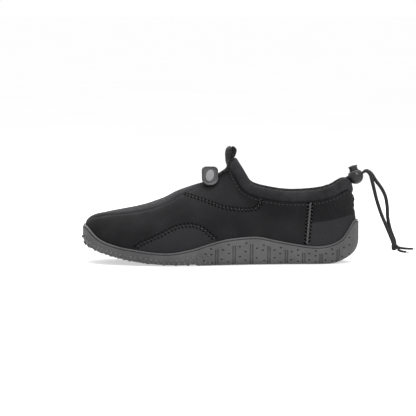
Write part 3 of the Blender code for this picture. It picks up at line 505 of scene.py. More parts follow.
def add_piece(name, shape, look, replaced=None, slot=None, crease=None, **values):
    """A finished piece of the shoe, with values for each of its points."""
    piece = raw_piece(name, shape, look)
    piece.data.shade_smooth()
    for key, numbers in values.items():
        set_values(piece, key, numbers)
    if crease:
        piece.data.set_sharp_from_angle(angle=math.radians(crease))
    return settle(piece, "shoe", replaced)


def bake_modifiers(piece, crease=None):
    """Turns the piece's modifiers into its mesh."""
    bpy.context.view_layer.update()
    evaluated = piece.evaluated_get(bpy.context.evaluated_depsgraph_get())
    mesh = bpy.data.meshes.new_from_object(evaluated)
    piece.modifiers.clear()
    old = piece.data
    piece.data = mesh
    bpy.data.meshes.remove(old)
    mesh.shade_smooth()
    if crease:
        mesh.set_sharp_from_angle(angle=math.radians(crease))


def ring_faces(first, second):
    count = len(first)
    return [(first[i], first[(i + 1) % count], second[(i + 1) % count], second[i])
            for i in range(count)]


def ring_numbers(count, sides):
    return [list(range(n * sides, (n + 1) * sides)) for n in range(count)]


def skin_rings(count, sides, ends="closed"):
    """Faces between rings of points. The ends are closed, open or joined to each other."""
    rings = ring_numbers(count, sides)
    faces = [tuple(rings[0][::-1]), tuple(rings[-1])] if ends == "closed" else []
    for first, second in zip(rings, rings[1:] + (rings[:1] if ends == "joined" else [])):
        faces += ring_faces(first, second)
    return faces


def circle(sides):
    """Cosine and sine of each step round a circle."""
    turns = [2 * math.pi * step / sides for step in range(sides)]
    return [(math.cos(turn), math.sin(turn)) for turn in turns]


def tube(line, radii, sides=12):
    """Points and faces of a closed round tube along a line, with a radius at each point."""
    line = np.asarray(line, dtype=float)
    count = len(line)
    runs = [line[min(n + 1, count - 1)] - line[max(n - 1, 0)] for n in range(count)]
    runs = [Vector(run).normalized() for run in runs]
    side = runs[0].orthogonal().normalized()
    points = []
    for spot, run, radius in zip(line, runs, radii):
        side = (side - run * side.dot(run)).normalized()
        other = run.cross(side)
        points += [Vector(spot) + side * radius * c + other * radius * s for c, s in circle(sides)]
    return points, skin_rings(count, sides)


def closed_tube(line, radius, sides=12):
    """Points and faces of a round tube along a closed line."""
    count = len(line)
    points = []
    for number in range(count):
        run = Vector(line[(number + 1) % count] - line[number - 1]).normalized()
        side = run.cross(Vector((0, 0, 1))).normalized()
        other = run.cross(side)
        points += [Vector(line[number]) + (side * c + other * s) * radius
                   for c, s in circle(sides)]
    return points, skin_rings(count, sides, "joined")


def merge(parts):
    """Points and faces of several parts as one."""
    points, faces = [], []
    for some_points, some_faces in parts:
        base = len(points)
        points += list(some_points)
        faces += [tuple(base + number for number in face) for face in some_faces]
    return points, faces


# Materials
def grey(level, blue):
    return level, level, blue, 1.0


def jersey(name, dark, light, stretch=1.0):
    """Fine jersey over neoprene, a little lighter in its worn and stretched places."""
    s = Shader(name, 0.88, Sheen_Weight=0.02, Sheen_Roughness=0.45, Specular_IOR_Level=0.08)
    loops = s.times(s.threads(0.0011 * stretch, "X"), s.threads(0.0009 * stretch, "Y"))
    grain = s.noise(900.0, 3.0, 0.6)
    tone = s.mix(s.range(s.noise(26.0, 3.0, 0.55), 0.35, 0.7), dark, light)
    fleck = s.range(grain, 0.3, 0.75, 0.84, 1.16)
    return s, tone, fleck, s.bump(loops, 0.25, 0.0003, s.bump(grain, 0.3, 0.00035))


def upper_material():
    s, tone, factor, normal = jersey("neoprene_jersey", grey(0.0085, 0.0093), grey(0.0135, 0.0145))
    tone = s.mix(s.times(s.zone("toe_panel", 0.4), 0.55), tone, grey(0.024, 0.026))
    heel = s.zone("heel_panel", 0.3)
    rib_zone = s.times(heel, s.zone("heel_top", 0.4))
    tone = s.mix(s.times(s.math("SUBTRACT", heel, rib_zone), 0.6), tone, grey(0.027, 0.029))
    ribs = s.threads(0.0017, "X")
    rib_tone = s.math("SUBTRACT", s.range(ribs, 0.1, 0.9, 0.65, 1.35), 1.0)
    for share in (s.math("ADD", s.times(rib_zone, rib_tone), 1.0),
                  # Painted shade beside the throat and toe seams
                  s.range(s.attribute("seam_painted_shade"), 0.0, 1.0, 1.0, 0.45),
                  # Painted highlight on the vamp's upward-facing top, above the ridge fold
                  s.range(s.attribute("ridge_painted_highlight"), 0.0, 1.0, 1.0, 1.75)):
        factor = s.times(factor, share)
    return s.finish(s.shade(tone, factor), s.bump(s.times(ribs, rib_zone), 0.6, 0.0005, normal))


# A copy of the sole rubber with its colour and gloss scaled by depth: below 1 it is painted shade,
# above 1 painted light together with wear
def rubber_material(name, depth):
    s = Shader(name, 0.66, Specular_IOR_Level=0.28 * min(depth, 1.0))
    cloud = s.noise(34.0, 4.0, 0.6)
    grain = s.noise(1500.0, 3.0, 0.7)
    tone = s.mix(s.range(cloud, 0.3, 0.7), grey(depth * 0.052, depth * 0.0535),
                 grey(depth * 0.076, depth * 0.0775))
    dust = s.range(s.noise(160.0, 4.0, 0.7), 0.5, 0.72, 1.0, 1.12)
    factor = s.times(dust, s.range(grain, 0.3, 0.7, 0.93, 1.07))
    return s.finish(s.shade(tone, factor), s.bump(grain, 0.22, 0.0003),
                    s.range(cloud, 0.3, 0.7, 0.6, 0.74))


def cuff_material():
    s, tone, fleck, normal = jersey("cuff_binding", grey(0.014, 0.015), grey(0.022, 0.024), 0.8)
    s.main.inputs["Sheen Weight"].default_value = 0.05
    # Painted shade on the roll's underside, with the tone of the gathers
    gather = s.range(s.attribute("gather"), 0.0, 1.0, 0.35, 1.2)
    return s.finish(s.shade(tone, s.times(fleck, gather)), normal)


def lining_material():
    s = Shader("insole_cloth", 0.93, Sheen_Weight=0.08)
    weave = s.times(s.bands(330.0, "X"), s.bands(330.0, "Y"))
    tone = s.mix(s.range(s.noise(40.0, 3.0), 0.3, 0.7), grey(0.02, 0.022), grey(0.032, 0.035))
    return s.finish(s.shade(tone, s.range(weave, 0.0, 1.0, 0.85, 1.2)), s.bump(weave, 0.5, 0.0004))


def badge_material():
    s = Shader("badge_rubber", 0.5, Specular_IOR_Level=0.3)
    pad = s.range(s.attribute("pad"), 0.2, 0.8)
    tone = s.mix(pad, grey(0.024, 0.026), grey(0.14, 0.145))
    grain = s.noise(1300.0, 3.0, 0.6)
    fleck = s.range(grain, 0.3, 0.7, 0.93, 1.06)
    return s.finish(s.shade(tone, fleck), s.bump(grain, 0.15, 0.0002))


def webbing_material():
    s = Shader("webbing", 0.8, Sheen_Weight=0.05, Specular_IOR_Level=0.25)
    weave = s.times(s.threads(0.0009, "X"), s.threads(0.0012, "DIAGONAL"))
    tone = s.mix(s.range(s.noise(300.0), 0.3, 0.7), grey(0.008, 0.009), grey(0.018, 0.02))
    return s.finish(s.shade(tone, s.range(weave, 0.0, 1.0, 0.7, 1.4)), s.bump(weave, 0.7, 0.0004))


def plastic_material():
    s = Shader("lock_plastic", 0.34, Specular_IOR_Level=0.32, Coat_Weight=0.05, Coat_Roughness=0.25)
    grain = s.noise(900.0)
    tone = s.mix(s.range(s.noise(120.0, 3.0), 0.35, 0.65), grey(0.009, 0.01), grey(0.015, 0.017))
    return s.finish(tone, s.bump(grain, 0.1, 0.0002), s.range(grain, 0.3, 0.7, 0.3, 0.4))


def elastic_material():
    s = Shader("braided_elastic", 0.75, Sheen_Weight=0.04, Specular_IOR_Level=0.25)
    braid = s.math("MAXIMUM", s.threads(0.0012, "DIAGONAL"), s.threads(0.001, "X"))
    tone = s.mix(braid, grey(0.006, 0.007), grey(0.016, 0.018))
    return s.finish(tone, s.bump(braid, 0.6, 0.0004))


def thread_material(name, level, blue, gloss=0.3):
    s = Shader(name, 0.7, Specular_IOR_Level=gloss)
    twist = s.bands(900.0, "DIAGONAL")
    tone = s.mix(twist, grey(0.75 * level, 0.75 * blue), grey(level, blue))
    return s.finish(tone, s.bump(twist, 0.4, 0.0002))


# The recess and groove copies are darker as painted shade in the pits and grooves; the worn copy is
# lighter as wear with a painted highlight on the knobs and studs
RUBBER_LOOK = rubber_material("sole_rubber", 1.0)
PIT_SHADE_LOOK = rubber_material("sole_rubber_shaded_recess", 0.35)
GROOVE_SHADE_LOOK = rubber_material("sole_rubber_shaded_groove", 0.72)
WORN_AND_LIT_LOOK = rubber_material("sole_rubber_lit_and_worn", 1.3)
PLASTIC_LOOK = plastic_material()
ELASTIC_LOOK = elastic_material()


def sight(px, py, side=LATERAL):
    """Line of sight in the shoe's coordinates through a place of the photograph, on either side."""
    start = Vector(((px - 82.7) / 1000, side * 0.1, (268.65 - py) / 1000))
    return start, Vector((0.0, -side, -math.tan(CAMERA_LIFT))).normalized()


# The upper, with a finer mesh than its solid
UPPER_COLUMNS = 230
UPPER_LEVELS = 44
even_places = {round(step / UPPER_COLUMNS, 6) for step in range(UPPER_COLUMNS + 1)}
FINE_PLACES = sorted(even_places | {THROAT_PLACE})


def stations_round(places):
    """Stations from the toe along the outer side to the heel and back along the inner side."""
    return [(LATERAL, p) for p in places] + [(MEDIAL, p) for p in places[1:-1]][::-1]


def build_upper_skin():
    """Outer skin of the upper as points, faces and the cloth place of each point."""
    points, cloth, numbers, ridge = [], [], [], {}
    for side, place in stations_round(FINE_PLACES):
        section = upper_section(side, place, UPPER_LEVELS)
        ups = line_steps(as_rows(section))
        column = []
        for level, point in enumerate(section):
            if level == len(section) - 1 and place <= THROAT_PLACE:
                if place in ridge:
                    column.append(ridge[place])
                    continue
                ridge[place] = len(points)
            column.append(len(points))
            points.append(point)
            cloth.append((place * OUTLINE_LENGTH[side], ups[level], 0.0))
        numbers.append(column)
    faces = []
    for first, second in zip(numbers, numbers[1:] + numbers[:1]):
        for a, b, c, d in zip(first, second, second[1:], first[1:]):
            face = tuple(dict.fromkeys((a, b, c, d)))
            if len(face) > 2:
                faces.append(face)
    return points, faces, cloth


skin_points, skin_faces, skin_cloth = build_upper_skin()
soft = bmesh.new()
for point in skin_points:
    soft.verts.new(point)
soft.verts.ensure_lookup_table()
for face in skin_faces:
    soft.faces.new([soft.verts[number] for number in face])
soft.verts.index_update()
THROAT_SOFTENING = 14
THROAT_NEARNESS = 0.035
near_throat = []
for v in soft.verts:
    place = skin_cloth[v.index][0] / OUTLINE_LENGTH[LATERAL if v.co.y < 0 else MEDIAL]
    if (not v.is_boundary and v.co.z > 0.035 and abs(v.co.y) > 0.004
            and abs(place - THROAT_PLACE) < THROAT_NEARNESS):
        near_throat.append(v)
for _ in range(THROAT_SOFTENING):
    bmesh.ops.smooth_vert(soft, verts=near_throat, factor=0.5, use_axis_x=False, use_axis_y=True,
                          use_axis_z=False)
bmesh.ops.recalc_face_normals(soft, faces=soft.faces)
soft.normal_update()
skin_tree = BVHTree.FromBMesh(soft)
skin = as_rows(v.co for v in soft.verts)
skin_normals = as_rows(v.normal for v in soft.verts)
soft.free()
inside = np.array([0.14, 0.0, 0.03])
if np.mean(np.sum((skin - inside) * skin_normals, axis=1)) < 0:
    skin_normals = -skin_normals


def drape(pixels, side=LATERAL):
    """Line on the upper through places seen from the side, given in the photograph's frame."""
    found = []
    for px, py in smooth_line(pixels, 8):
        start, way = sight(px, py, side)
        spot, normal, _, _ = skin_tree.ray_cast(start, way)
        if spot is not None:
            found.append((*spot, *(normal if normal.dot(way) < 0 else -normal)))
    return np.array(found)


def near_line(line, width):
    """Soft share of nearness of every point of the skin to a line on it."""
    best = np.full(len(skin), 1e9)
    for at in line[:, :3]:
        best = np.minimum(best, np.sum((skin - at) ** 2, axis=1))
    return np.exp(-(np.sqrt(best) / width) ** 2)


# Lines of the photograph's side view: seams, folds and panel edges
THROAT_SEAM = ((184.5, 193.5), (193.0, 196.6), (202.5, 199.6), (213.0, 203.3), (221.0, 206.4),
               (230.0, 208.3), (239.0, 209.4), (248.0, 209.6), (254.5, 208.6), (258.2, 206.0),
               (260.2, 201.8), (260.8, 199.2))
TOE_SEAM = ((136.5, 247.2), (142.5, 243.2), (150.0, 239.8), (160.0, 235.3), (167.5, 231.3),
            (175.0, 227.6), (183.8, 225.4), (192.5, 225.0), (199.0, 226.8), (205.0, 230.0),
            (210.5, 234.8), (216.0, 239.4))
HEEL_SEAM = ((309.6, 202.6), (309.2, 210.0), (308.2, 220.0), (307.2, 230.0), (306.3, 240.0),
             (306.0, 243.5))
HEEL_LINE = ((310.5, 222.4), (320.0, 221.8), (332.0, 219.6), (341.0, 217.6), (350.0, 214.6))
RIDGE_FOLD = ((94.0, 217.2), (105.0, 215.2), (118.0, 213.9), (130.0, 212.6), (148.8, 209.3),
              (167.5, 202.6), (180.0, 195.4), (192.5, 189.6))
# Columns: name, line, depth, half width
SEAMS = (
    ("throat", THROAT_SEAM, 0.00055, 0.0019),
    ("toe", TOE_SEAM, 0.00055, 0.0019),
    ("heel", HEEL_SEAM, 0.0005, 0.003),
    ("line", HEEL_LINE, 0.0004, 0.0013),
)
# Soft troughs. Columns: line, depth, half width
FOLDS = (
    (RIDGE_FOLD, 0.00075, 0.0024),
    (((150.0, 222.0), (165.0, 216.5), (182.0, 207.5)), 0.0004, 0.0045),
    (((104.0, 229.0), (118.0, 232.5), (134.0, 236.0)), 0.0003, 0.005),
    (((222.0, 221.0), (240.0, 226.0), (262.0, 226.5)), 0.0005, 0.006),
    (((268.0, 214.0), (284.0, 218.5), (300.0, 216.5)), 0.0004, 0.0055),
    (((312.0, 211.0), (325.0, 212.6), (341.0, 209.0)), 0.0004, 0.003),
    (((316.0, 232.0), (328.0, 233.0), (341.0, 228.0)), 0.0003, 0.004),
)
SEAM_SHADOW = 0.35
SEAM_SHADOW_WIDTH = 0.0022
GATHER_PITCH = 0.0058
GATHER_HEIGHT = 0.0003
BACK_FACE = 0.268
BACK_FILL = 0.003
# Slow waves of the cloth. Columns: waves in a metre, height
CLOTH_WAVES = ((38.0, 0.00035), (120.0, 0.00012))

seam_lines = {}
sink = np.zeros(len(skin))
# Painted shade beside the throat and toe seams, where the seams dent the cloth
painted_seam_shade = np.zeros(len(skin))
for side in SIDES:
    for name, pixels, depth, width in SEAMS:
        line = seam_lines[name, side] = drape(pixels, side)
        sink += depth * near_line(line, width)
        if name in ("throat", "toe"):
            painted_seam_shade = np.maximum(painted_seam_shade, SEAM_SHADOW * near_line(line, SEAM_SHADOW_WIDTH))
    for pixels, depth, width in FOLDS:
        sink += depth * near_line(drape(pixels, side), width)

# Gathers at the back of the heel, and slow waves of the soft cloth
heel_near = np.exp(-((skin[:, 0] - BACK_FACE) / 0.012) ** 2)
heel_near *= smooth_step(skin[:, 2], 0.046, 0.052)
gathers = np.sin(2 * math.pi * skin[:, 2] / GATHER_PITCH + 30.0 * skin[:, 1])
sink += GATHER_HEIGHT * heel_near * gathers
for number, at in enumerate(skin):
    sink[number] += sum(height * noise.noise(Vector(at) * pitch) for pitch, height in CLOTH_WAVES)
rim_heights = np.array([rim_height(min(max(x, 0.0), SOLE_LENGTH)) for x in skin[:, 0]])
free = smooth_step(skin[:, 2], rim_heights - 0.0005, rim_heights + 0.004)
skin = skin - skin_normals * (sink * free)[:, None]
# The heel's back runs straight down from the cuff
skin[:, 0] += (BACK_FILL * smooth_step(skin[:, 0], BACK_FACE - 0.02, BACK_FACE)
               * np.exp(-((skin[:, 2] - 0.0635) / 0.0075) ** 2))


def read_line(line, key, column, values):
    """Reads a column of a line where its key column has the values."""
    order = np.argsort(line[:, key])
    return np.interp(values, line[order, key], line[order, column])


def below_line(line):
    """How far each point of the skin lies below a line seen from the side, in millimetres."""
    return (read_line(line, 0, 2, skin[:, 0]) - skin[:, 2]) * 1000.0


toe_panel, heel_panel, heel_top = (np.full(len(skin), -50.0) for _ in range(3))
# Painted highlight: a lighter band just above the ridge fold on the vamp, where light falls on its
# top
ridge_painted_highlight = np.zeros(len(skin))
for side in SIDES:
    mine = skin[:, 1] * side >= 0
    seam = seam_lines["toe", side]
    outside = np.maximum(seam[:, 0].min() - skin[:, 0], skin[:, 0] - seam[:, 0].max()) * 1000.0
    toe_panel = np.where(mine, np.minimum(below_line(seam), -outside), toe_panel)
    behind = (skin[:, 0] - read_line(seam_lines["heel", side], 2, 0, skin[:, 2])) * 1000.0
    heel_panel = np.where(mine, behind, heel_panel)
    heel_top = np.where(mine, -below_line(seam_lines["line", side]), heel_top)
    above = skin[:, 2] - read_line(drape(RIDGE_FOLD, side), 0, 2, skin[:, 0])
    near = (smooth_step(above, 0.0, 0.0012) * smooth_step(-skin[:, 0], -0.118, -0.104)
            * smooth_step(skin[:, 0], 0.01, 0.026))
    ridge_painted_highlight = np.where(skin[:, 1] * side >= -1e-6, np.maximum(ridge_painted_highlight, near), ridge_painted_highlight)

upper = raw_piece("upper_skin", (skin, skin_faces), upper_material())
upper.data.shade_smooth()
for name, values in (("cloth", skin_cloth), ("toe_panel", toe_panel), ("heel_panel", heel_panel),
                     ("heel_top", heel_top), ("ridge_painted_highlight", ridge_painted_highlight), ("seam_painted_shade", painted_seam_shade)):
    set_values(upper, name, values)
wall = upper.modifiers.new("wall", "SOLIDIFY")
wall.thickness = WALL
wall.offset = -1.0
bake_modifiers(upper)
settle(upper, "shoe", "upper")


# Rolled cuff, higher on both sides of the cord lock
BALL_RADIUS = LOCK_RADIUS + 0.0003
BALL_CENTRE = Vector((COLLAR_REACH + LOCK_BACK, 0.0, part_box("lock_barrel")[0].z + LOCK_RADIUS))
CUFF_SIDES = 28
CUFF_ROUND = 0.028
CUFF_PINCH = 0.22
CUFF_SLIMMER = 0.2
SHOULDER_HEIGHT = 0.002
RUN_EVENING = 6
UP_EVENING = 110


def evened(ways, weight):
    """Directions round the collar, each evened out with its two neighbours."""
    return [(before + weight * way + after).normalized()
            for before, way, after in zip(ways[-1:] + ways[:-1], ways, ways[1:] + ways[:1])]


def fine_cuff():
    """The cuff with its gathers, a tone that follows their puff with a painted shade on the roll's
    underside, and its middle line with the directions up and out.
    """
    stations = stations_round([place for place in FINE_PLACES if place >= THROAT_PLACE])
    edge = [top_point(side, place) for side, place in stations]
    runs = [(after - before).normalized()
            for before, after in zip(edge[-1:] + edge[:-1], edge[1:] + edge[:1])]
    ups = []
    for spot, run, (side, place) in zip(edge, runs, stations):
        if place == THROAT_PLACE:
            below = top_point(side, place - 0.011)
        else:
            below = upper_section(side, place, 8)[-2]
        ups.append(run.cross(spot - below).normalized().cross(run))
    for _ in range(RUN_EVENING):
        runs = evened(runs, 6)
    for _ in range(UP_EVENING):
        ups = evened(ups, 2)
    points, cloth, gather, middles = [], [], [], []
    length = 0.0
    for number, (spot, run, rough_up) in enumerate(zip(edge, runs, ups)):
        if number:
            length += (spot - edge[number - 1]).length
        out = run.cross(rough_up).normalized()
        up = out.cross(run)
        ease = THROAT_EASE * (1.0 - float(smooth_step(spot.x - edge[0].x, 0.0, THROAT_EASE_REACH)))
        centre = spot - out * 0.5 * WALL + up * (0.5 * CUFF_HEIGHT + CLEAR + ease - 0.0005)
        middles.append((centre, up, out))
        back = float(smooth_step(spot.x, 0.205, 0.262))
        shoulder = (SHOULDER_HEIGHT * math.exp(-((spot.x - 0.267) / 0.006) ** 2)
                    * float(smooth_step(abs(spot.y), 0.001, 0.006)))
        slim = CUFF_SLIMMER * float(smooth_step(spot.x, BACK_FACE - 0.016, BACK_FACE))
        for step, (c, s) in enumerate(circle(CUFF_SIDES)):
            wave = noise.noise(Vector((length * 240.0, 1.3 * c, 1.3 * s)))
            slow = noise.noise(Vector((length * 45.0, 2.0 * c, 5.0)))
            puff = (0.00012 + 0.0003 * back) * wave + 0.00025 * slow
            high = 0.5 * CUFF_HEIGHT + 0.0004 + puff
            thick = 0.5 * CUFF_THICKNESS * (1.0 - slim) + puff
            pinch = 1.0 - CUFF_PINCH * max(-c, 0.0) ** 2
            spot_at = centre + up * high * c + out * thick * pinch * s
            spot_at.z += shoulder * (0.5 + 0.5 * c)
            away = spot_at - BALL_CENTRE
            if away.length < BALL_RADIUS + 0.5 * CLEAR:
                spot_at = BALL_CENTRE + away.normalized() * (BALL_RADIUS + 0.5 * CLEAR)
            points.append(spot_at)
            cloth.append((length, CUFF_ROUND * step / CUFF_SIDES, 0.0))
            # Tone that follows the gathers' puff, with a painted shade that darkens the roll's
            # underside
            gather.append((0.72 + 0.28 * wave) * float(smooth_step(c, -1.0, -0.55)))
    return (points, skin_rings(len(edge), CUFF_SIDES, "joined")), cloth, gather, middles


cuff_shape, cuff_cloth, cuff_gather, cuff_middles = fine_cuff()
add_piece("cuff_roll", cuff_shape, cuff_material(), "collar_cuff", "cuff_knit",
          cloth=cuff_cloth, gather=cuff_gather)


def stitch(centre, way, normal, length, width):
    """One stitch as a small arched bar of thread."""
    side = way.cross(normal).normalized()
    points = []
    for t in (-1.0, -0.6, 0.0, 0.6, 1.0):
        spot = centre + way * (0.5 * length * t) + normal * width * (0.38 * (1.0 - t * t) - 0.12)
        radius = 0.5 * width * (0.35 if abs(t) == 1.0 else 1.0)
        points += [spot + side * radius * c + normal * 0.8 * radius * s for c, s in circle(6)]
    return points, skin_rings(5, 6)


finished_tree = BVHTree.FromPolygons([tuple(p) for p in skin], skin_faces)


def laid(line, lift=0.0):
    """Moves a line of points with normals on to the finished skin."""
    return [(finished_tree.find_nearest(Vector(row[:3]))[0] + Vector(row[3:]) * lift,
             Vector(row[3:])) for row in line]


def stitch_row(line, pitch, length, width, start, turn=0.0, offset=0.0, lift=0.0):
    """Stitches along a laid line, each turned by an angle and the row moved sideways."""
    spots = as_rows(p for p, _ in line)
    steps = line_steps(spots)
    parts = []
    at = start
    while at < steps[-1]:
        spot = Vector([np.interp(at, steps, spots[:, axis]) for axis in range(3)])
        low = int(np.clip(np.searchsorted(steps, at) - 1, 0, len(line) - 2))
        run = (line[low + 1][0] - line[low][0]).normalized()
        normal = (line[low][1] + line[low + 1][1]).normalized()
        across = normal.cross(run).normalized()
        way = (run * math.cos(turn) + across * math.sin(turn)).normalized()
        found, face_normal, _, _ = finished_tree.find_nearest(spot + across * offset)
        if face_normal.dot(normal) < 0:
            face_normal = -face_normal
        parts.append(stitch(found + face_normal * lift, way, face_normal, length, width))
        at += pitch
    return parts


# Stitches: pitches, slant, lift, and the bead of the heel seam
SEAM_PITCH = 0.0038
HEEL_PITCH = 0.0037
CUFF_PITCH = 0.004
SLANT = -0.9
LIFT = 0.0002
BEAD_STEPS = 96
BEAD_PITCH = 0.0034
BEAD_RADIUS = 0.00072

hole_shade_stitches, light_parts, beads = [], [], []
for side in SIDES:
    for name in ("throat", "toe"):
        line = laid(seam_lines[name, side])
        # Two rows of near-black stitches that paint the shade of the needle holes on both sides of
        # the seam
        for row, start in ((-1, 0.0004), (1, 0.0023)):
            hole_shade_stitches += stitch_row(line, SEAM_PITCH, 0.0021, 0.0013, start, SLANT * side,
                                     row * 0.0018 * side, LIFT)
        light_parts += stitch_row(line, SEAM_PITCH, 0.0036, 0.00075, 0.0033, SLANT * side, 0.0,
                                  LIFT)
    heel = laid(seam_lines["heel", side])
    # Near-black stitches paint the shade of the needle holes; the lighter ones are thread
    for row in (-1, 1):
        hole_shade_stitches += stitch_row(heel, HEEL_PITCH, 0.002, 0.0017, 0.0012 + 0.0006 * row, 0.0,
                                 row * 0.0024, 0.0003)
        light_parts += stitch_row(heel, HEEL_PITCH, 0.0016, 0.0006, 0.003 + 0.0006 * row, 0.0,
                                  row * 0.0026)
    # Raised grey bead of the heel seam
    bead = resample(as_rows(p for p, _ in laid(seam_lines["heel", side], LIFT)), BEAD_STEPS)
    turns = 2 * math.pi * np.linspace(0.0, line_steps(bead)[-1], BEAD_STEPS) / BEAD_PITCH
    bead[:, 0] += 0.00055 * np.sin(turns)
    widths = BEAD_RADIUS + 0.00022 * np.sin(2 * turns)
    widths[[0, -1]] = 0.0003
    beads.append(tube(bead, widths, 8))
below_cuff = [(centre - up * (0.5 * CUFF_HEIGHT + 0.0022) + out * 0.5 * WALL, out)
              for centre, up, out in cuff_middles]
cuff_parts = stitch_row(below_cuff + below_cuff[:1], CUFF_PITCH, 0.0021, 0.0007, 0.001)
# The near-black stitches are painted shade of needle holes; the other pieces are thread
for name, parts, slot, *thread in (
        ("needle_hole_shade_stitches", hole_shade_stitches, "neoprene", "needle_hole_shade_thread", 0.0026, 0.0026, 0.02),
        ("stitches_light", light_parts, "neoprene", "seam_thread", 0.04, 0.042),
        ("heel_seams", beads, "neoprene", "light_thread", 0.08, 0.083),
        ("cuff_stitches", cuff_parts, "cuff_knit", "cuff_thread", 0.045, 0.047)):
    add_piece(name, merge(parts), thread_material(*thread), slot=slot)


# Sole
SOLE_COLUMNS = 110
PROFILE_WALL = 10  # Rows of a sole profile from the face up to the lip


def sole_profile(side, place):
    point, _ = outline_point(side, place)
    drawn = ARCH_TUCK * read_rows(TUCK_ROWS, point[0] / SOLE_LENGTH, 1 if side == LATERAL else 2)
    reach, climb = edge_rounding(point[0])
    rim = rim_height(point[0])
    lip = rim - LIP_HEIGHT
    edge = [floor_point(side, place, inward * reach + share * drawn,
                        lambda x, up=rise * climb: face_height(x) + up)
            for inward, share, rise in EDGE_ROWS]
    low, high = (EDGE_ROWS[-1][1] * drawn, edge[-1].z), (0.0, lip - 0.0003)
    rows = [(low[0] + (high[0] - low[0]) * t, low[1] + (high[1] - low[1]) * t)
            for t in (0.33, 0.66)]
    rows += [high, (0.00012, lip), (LIP_STEP + 0.0008, lip), (LIP_STEP + 0.0008, lip + 0.0006),
             (LIP_STEP - 0.0002, lip + 0.0009), (LIP_STEP - 0.0002, rim - 0.0004),
             (LIP_STEP + 0.0002, rim - 0.0001), (LIP_STEP + 0.0005, rim), (RIM_WALL - 0.0003, rim),
             (RIM_WALL, rim - 0.0003)]
    return edge + [inset_point(side, place, inset, lambda _, z=z: z) for inset, z in rows]


def cap(points, ring, height, columns):
    """Closes a ring with strips from side to side."""
    half = len(ring) // 2
    rows = []
    for step in range(half + 1):
        if step in (0, half):
            rows.append([ring[step]] * (columns + 1))
            continue
        outer, inner = ring[step], ring[len(ring) - step]
        row = [outer]
        for column in range(1, columns):
            spot = points[outer].lerp(points[inner], column / columns)
            points.append(Vector((spot.x, spot.y, height(spot.x))))
            row.append(len(points) - 1)
        rows.append(row + [inner])
    return [tuple(dict.fromkeys((a, b, c, d))) for first, second in zip(rows, rows[1:])
            for a, b, c, d in zip(first, second, second[1:], first[1:])]


def fine_sole():
    extra = [place_at(LATERAL, RECESS_END), place_at(LATERAL, RECESS_END + RECESS_STEP)]
    places = [step / SOLE_COLUMNS for step in range(SOLE_COLUMNS + 1)]
    places = [p for p in places if all(abs(p - e) > 0.3 / SOLE_COLUMNS for e in extra)]
    stations = stations_round(sorted(places + extra))
    profiles = [sole_profile(side, place) for side, place in stations]
    rings = [list(ring) for ring in zip(*profiles)]
    rings.append([floor_point(side, place, RIM_WALL, cup_height) for side, place in stations])
    points = [point for ring in rings for point in ring]
    numbers = ring_numbers(len(rings), len(stations))
    faces = skin_rings(len(rings), len(stations), "open")
    faces += cap(points, numbers[0], face_height, 14)
    faces += cap(points, numbers[-1], cup_height, 6)
    return points, faces


def groove_line(number, offset):
    along = GROOVE_START + number * GROOVE_PITCH + offset
    walls = {}
    for side in SIDES:
        profile = sole_profile(side, place_at(side, along))
        high, low = profile[PROFILE_WALL - 1], profile[len(EDGE_ROWS) - 1]
        top = high.lerp(low, min(GROOVE_BELOW_RIM / (high - low).length, 1.0))
        middle = [p for p in profile[PROFILE_WALL - 2:0:-2] if p.z < top.z - 0.0005]
        walls[side] = [top] + middle + [profile[0]]
    start, end = walls[LATERAL][-1], walls[MEDIAL][-1]
    wave = []
    for share, shift in WAVE_ROWS:
        spot = start.lerp(end, share)
        at = spot.x + shift * GROOVE_PITCH
        wave.append(Vector((at, spot.y, face_height(at))))
    route = walls[LATERAL] + wave + walls[MEDIAL][::-1]
    return resample(smooth_line(route, 5), GROOVE_STEPS)


def rib_line(rows):
    """Closed line of a rib, and the outward direction at each of its points."""
    loop = smooth_line([(a * SOLE_LENGTH, w * BALL_WIDTH) for a, w in rows], 8, True)
    line = resample(np.vstack((loop, loop[:1])), 121)[:-1]
    run = np.roll(line, -1, axis=0) - np.roll(line, 1, axis=0)
    out = np.stack((run[:, 1], -run[:, 0]), axis=1) / np.linalg.norm(run, axis=1)[:, None]
    return line, out


def knob(spot, way, radius, height, sides=10):
    """A low round knob that stands on a spot and points along a way."""
    side = way.orthogonal().normalized()
    other = way.cross(side)
    points = []
    for rise, share in ((-0.6, 1.0), (0.45, 1.0), (0.82, 0.8), (1.0, 0.42)):
        points += [spot + way * rise * height + (side * c + other * s) * radius * share
                   for c, s in circle(sides)]
    return points, skin_rings(4, sides)


def pit(spot, out, way, length, width, depth):
    """A small lens that is cut out of the rubber at a spot."""
    side = out.cross(way).normalized()
    points = []
    for row in range(1, 5):
        wide, high = math.sin(math.pi * row / 5), math.cos(math.pi * row / 5)
        points += [spot + way * 0.5 * length * wide * c + side * 0.5 * width * wide * s
                   + out * depth * high for c, s in circle(10)]
    return points, skin_rings(4, 10)


GROOVE_STEPS = 90
GROOVE_RADIUS = 0.0007
GROOVE_HALF_GAP = 0.0011
RIBS = [rib_line(rows) for rows in RIB_LOOPS]
DOWN = Vector((0.0, 0.0, -1.0))
KNOB_HEIGHT = RELIEF * 0.95
KNOB_RADIUS = 0.00125
KNOB_START = 0.007
KNOB_PITCH = 0.0058
KNOB_SPACING = 0.009
KNOB_FREE = 0.0052
rng = np.random.default_rng(7)


def jitter(size):
    return size * rng.uniform(-1, 1)


def sole_spot(x, y):
    return Vector((x, y, face_height(x)))


def plan_inset(x, y):
    """How far a place lies inside the plan's edge, in metres."""
    best = min(float(np.min(np.hypot(line[:, 0] - x, line[:, 1] - y)))
               for line in OUTLINES.values())
    low, high = [np.interp(x, OUTLINES[side][:, 0], OUTLINES[side][:, 1])
                 for side in SIDES]
    return best if low < y < high and 0 < x < SOLE_LENGTH else -best


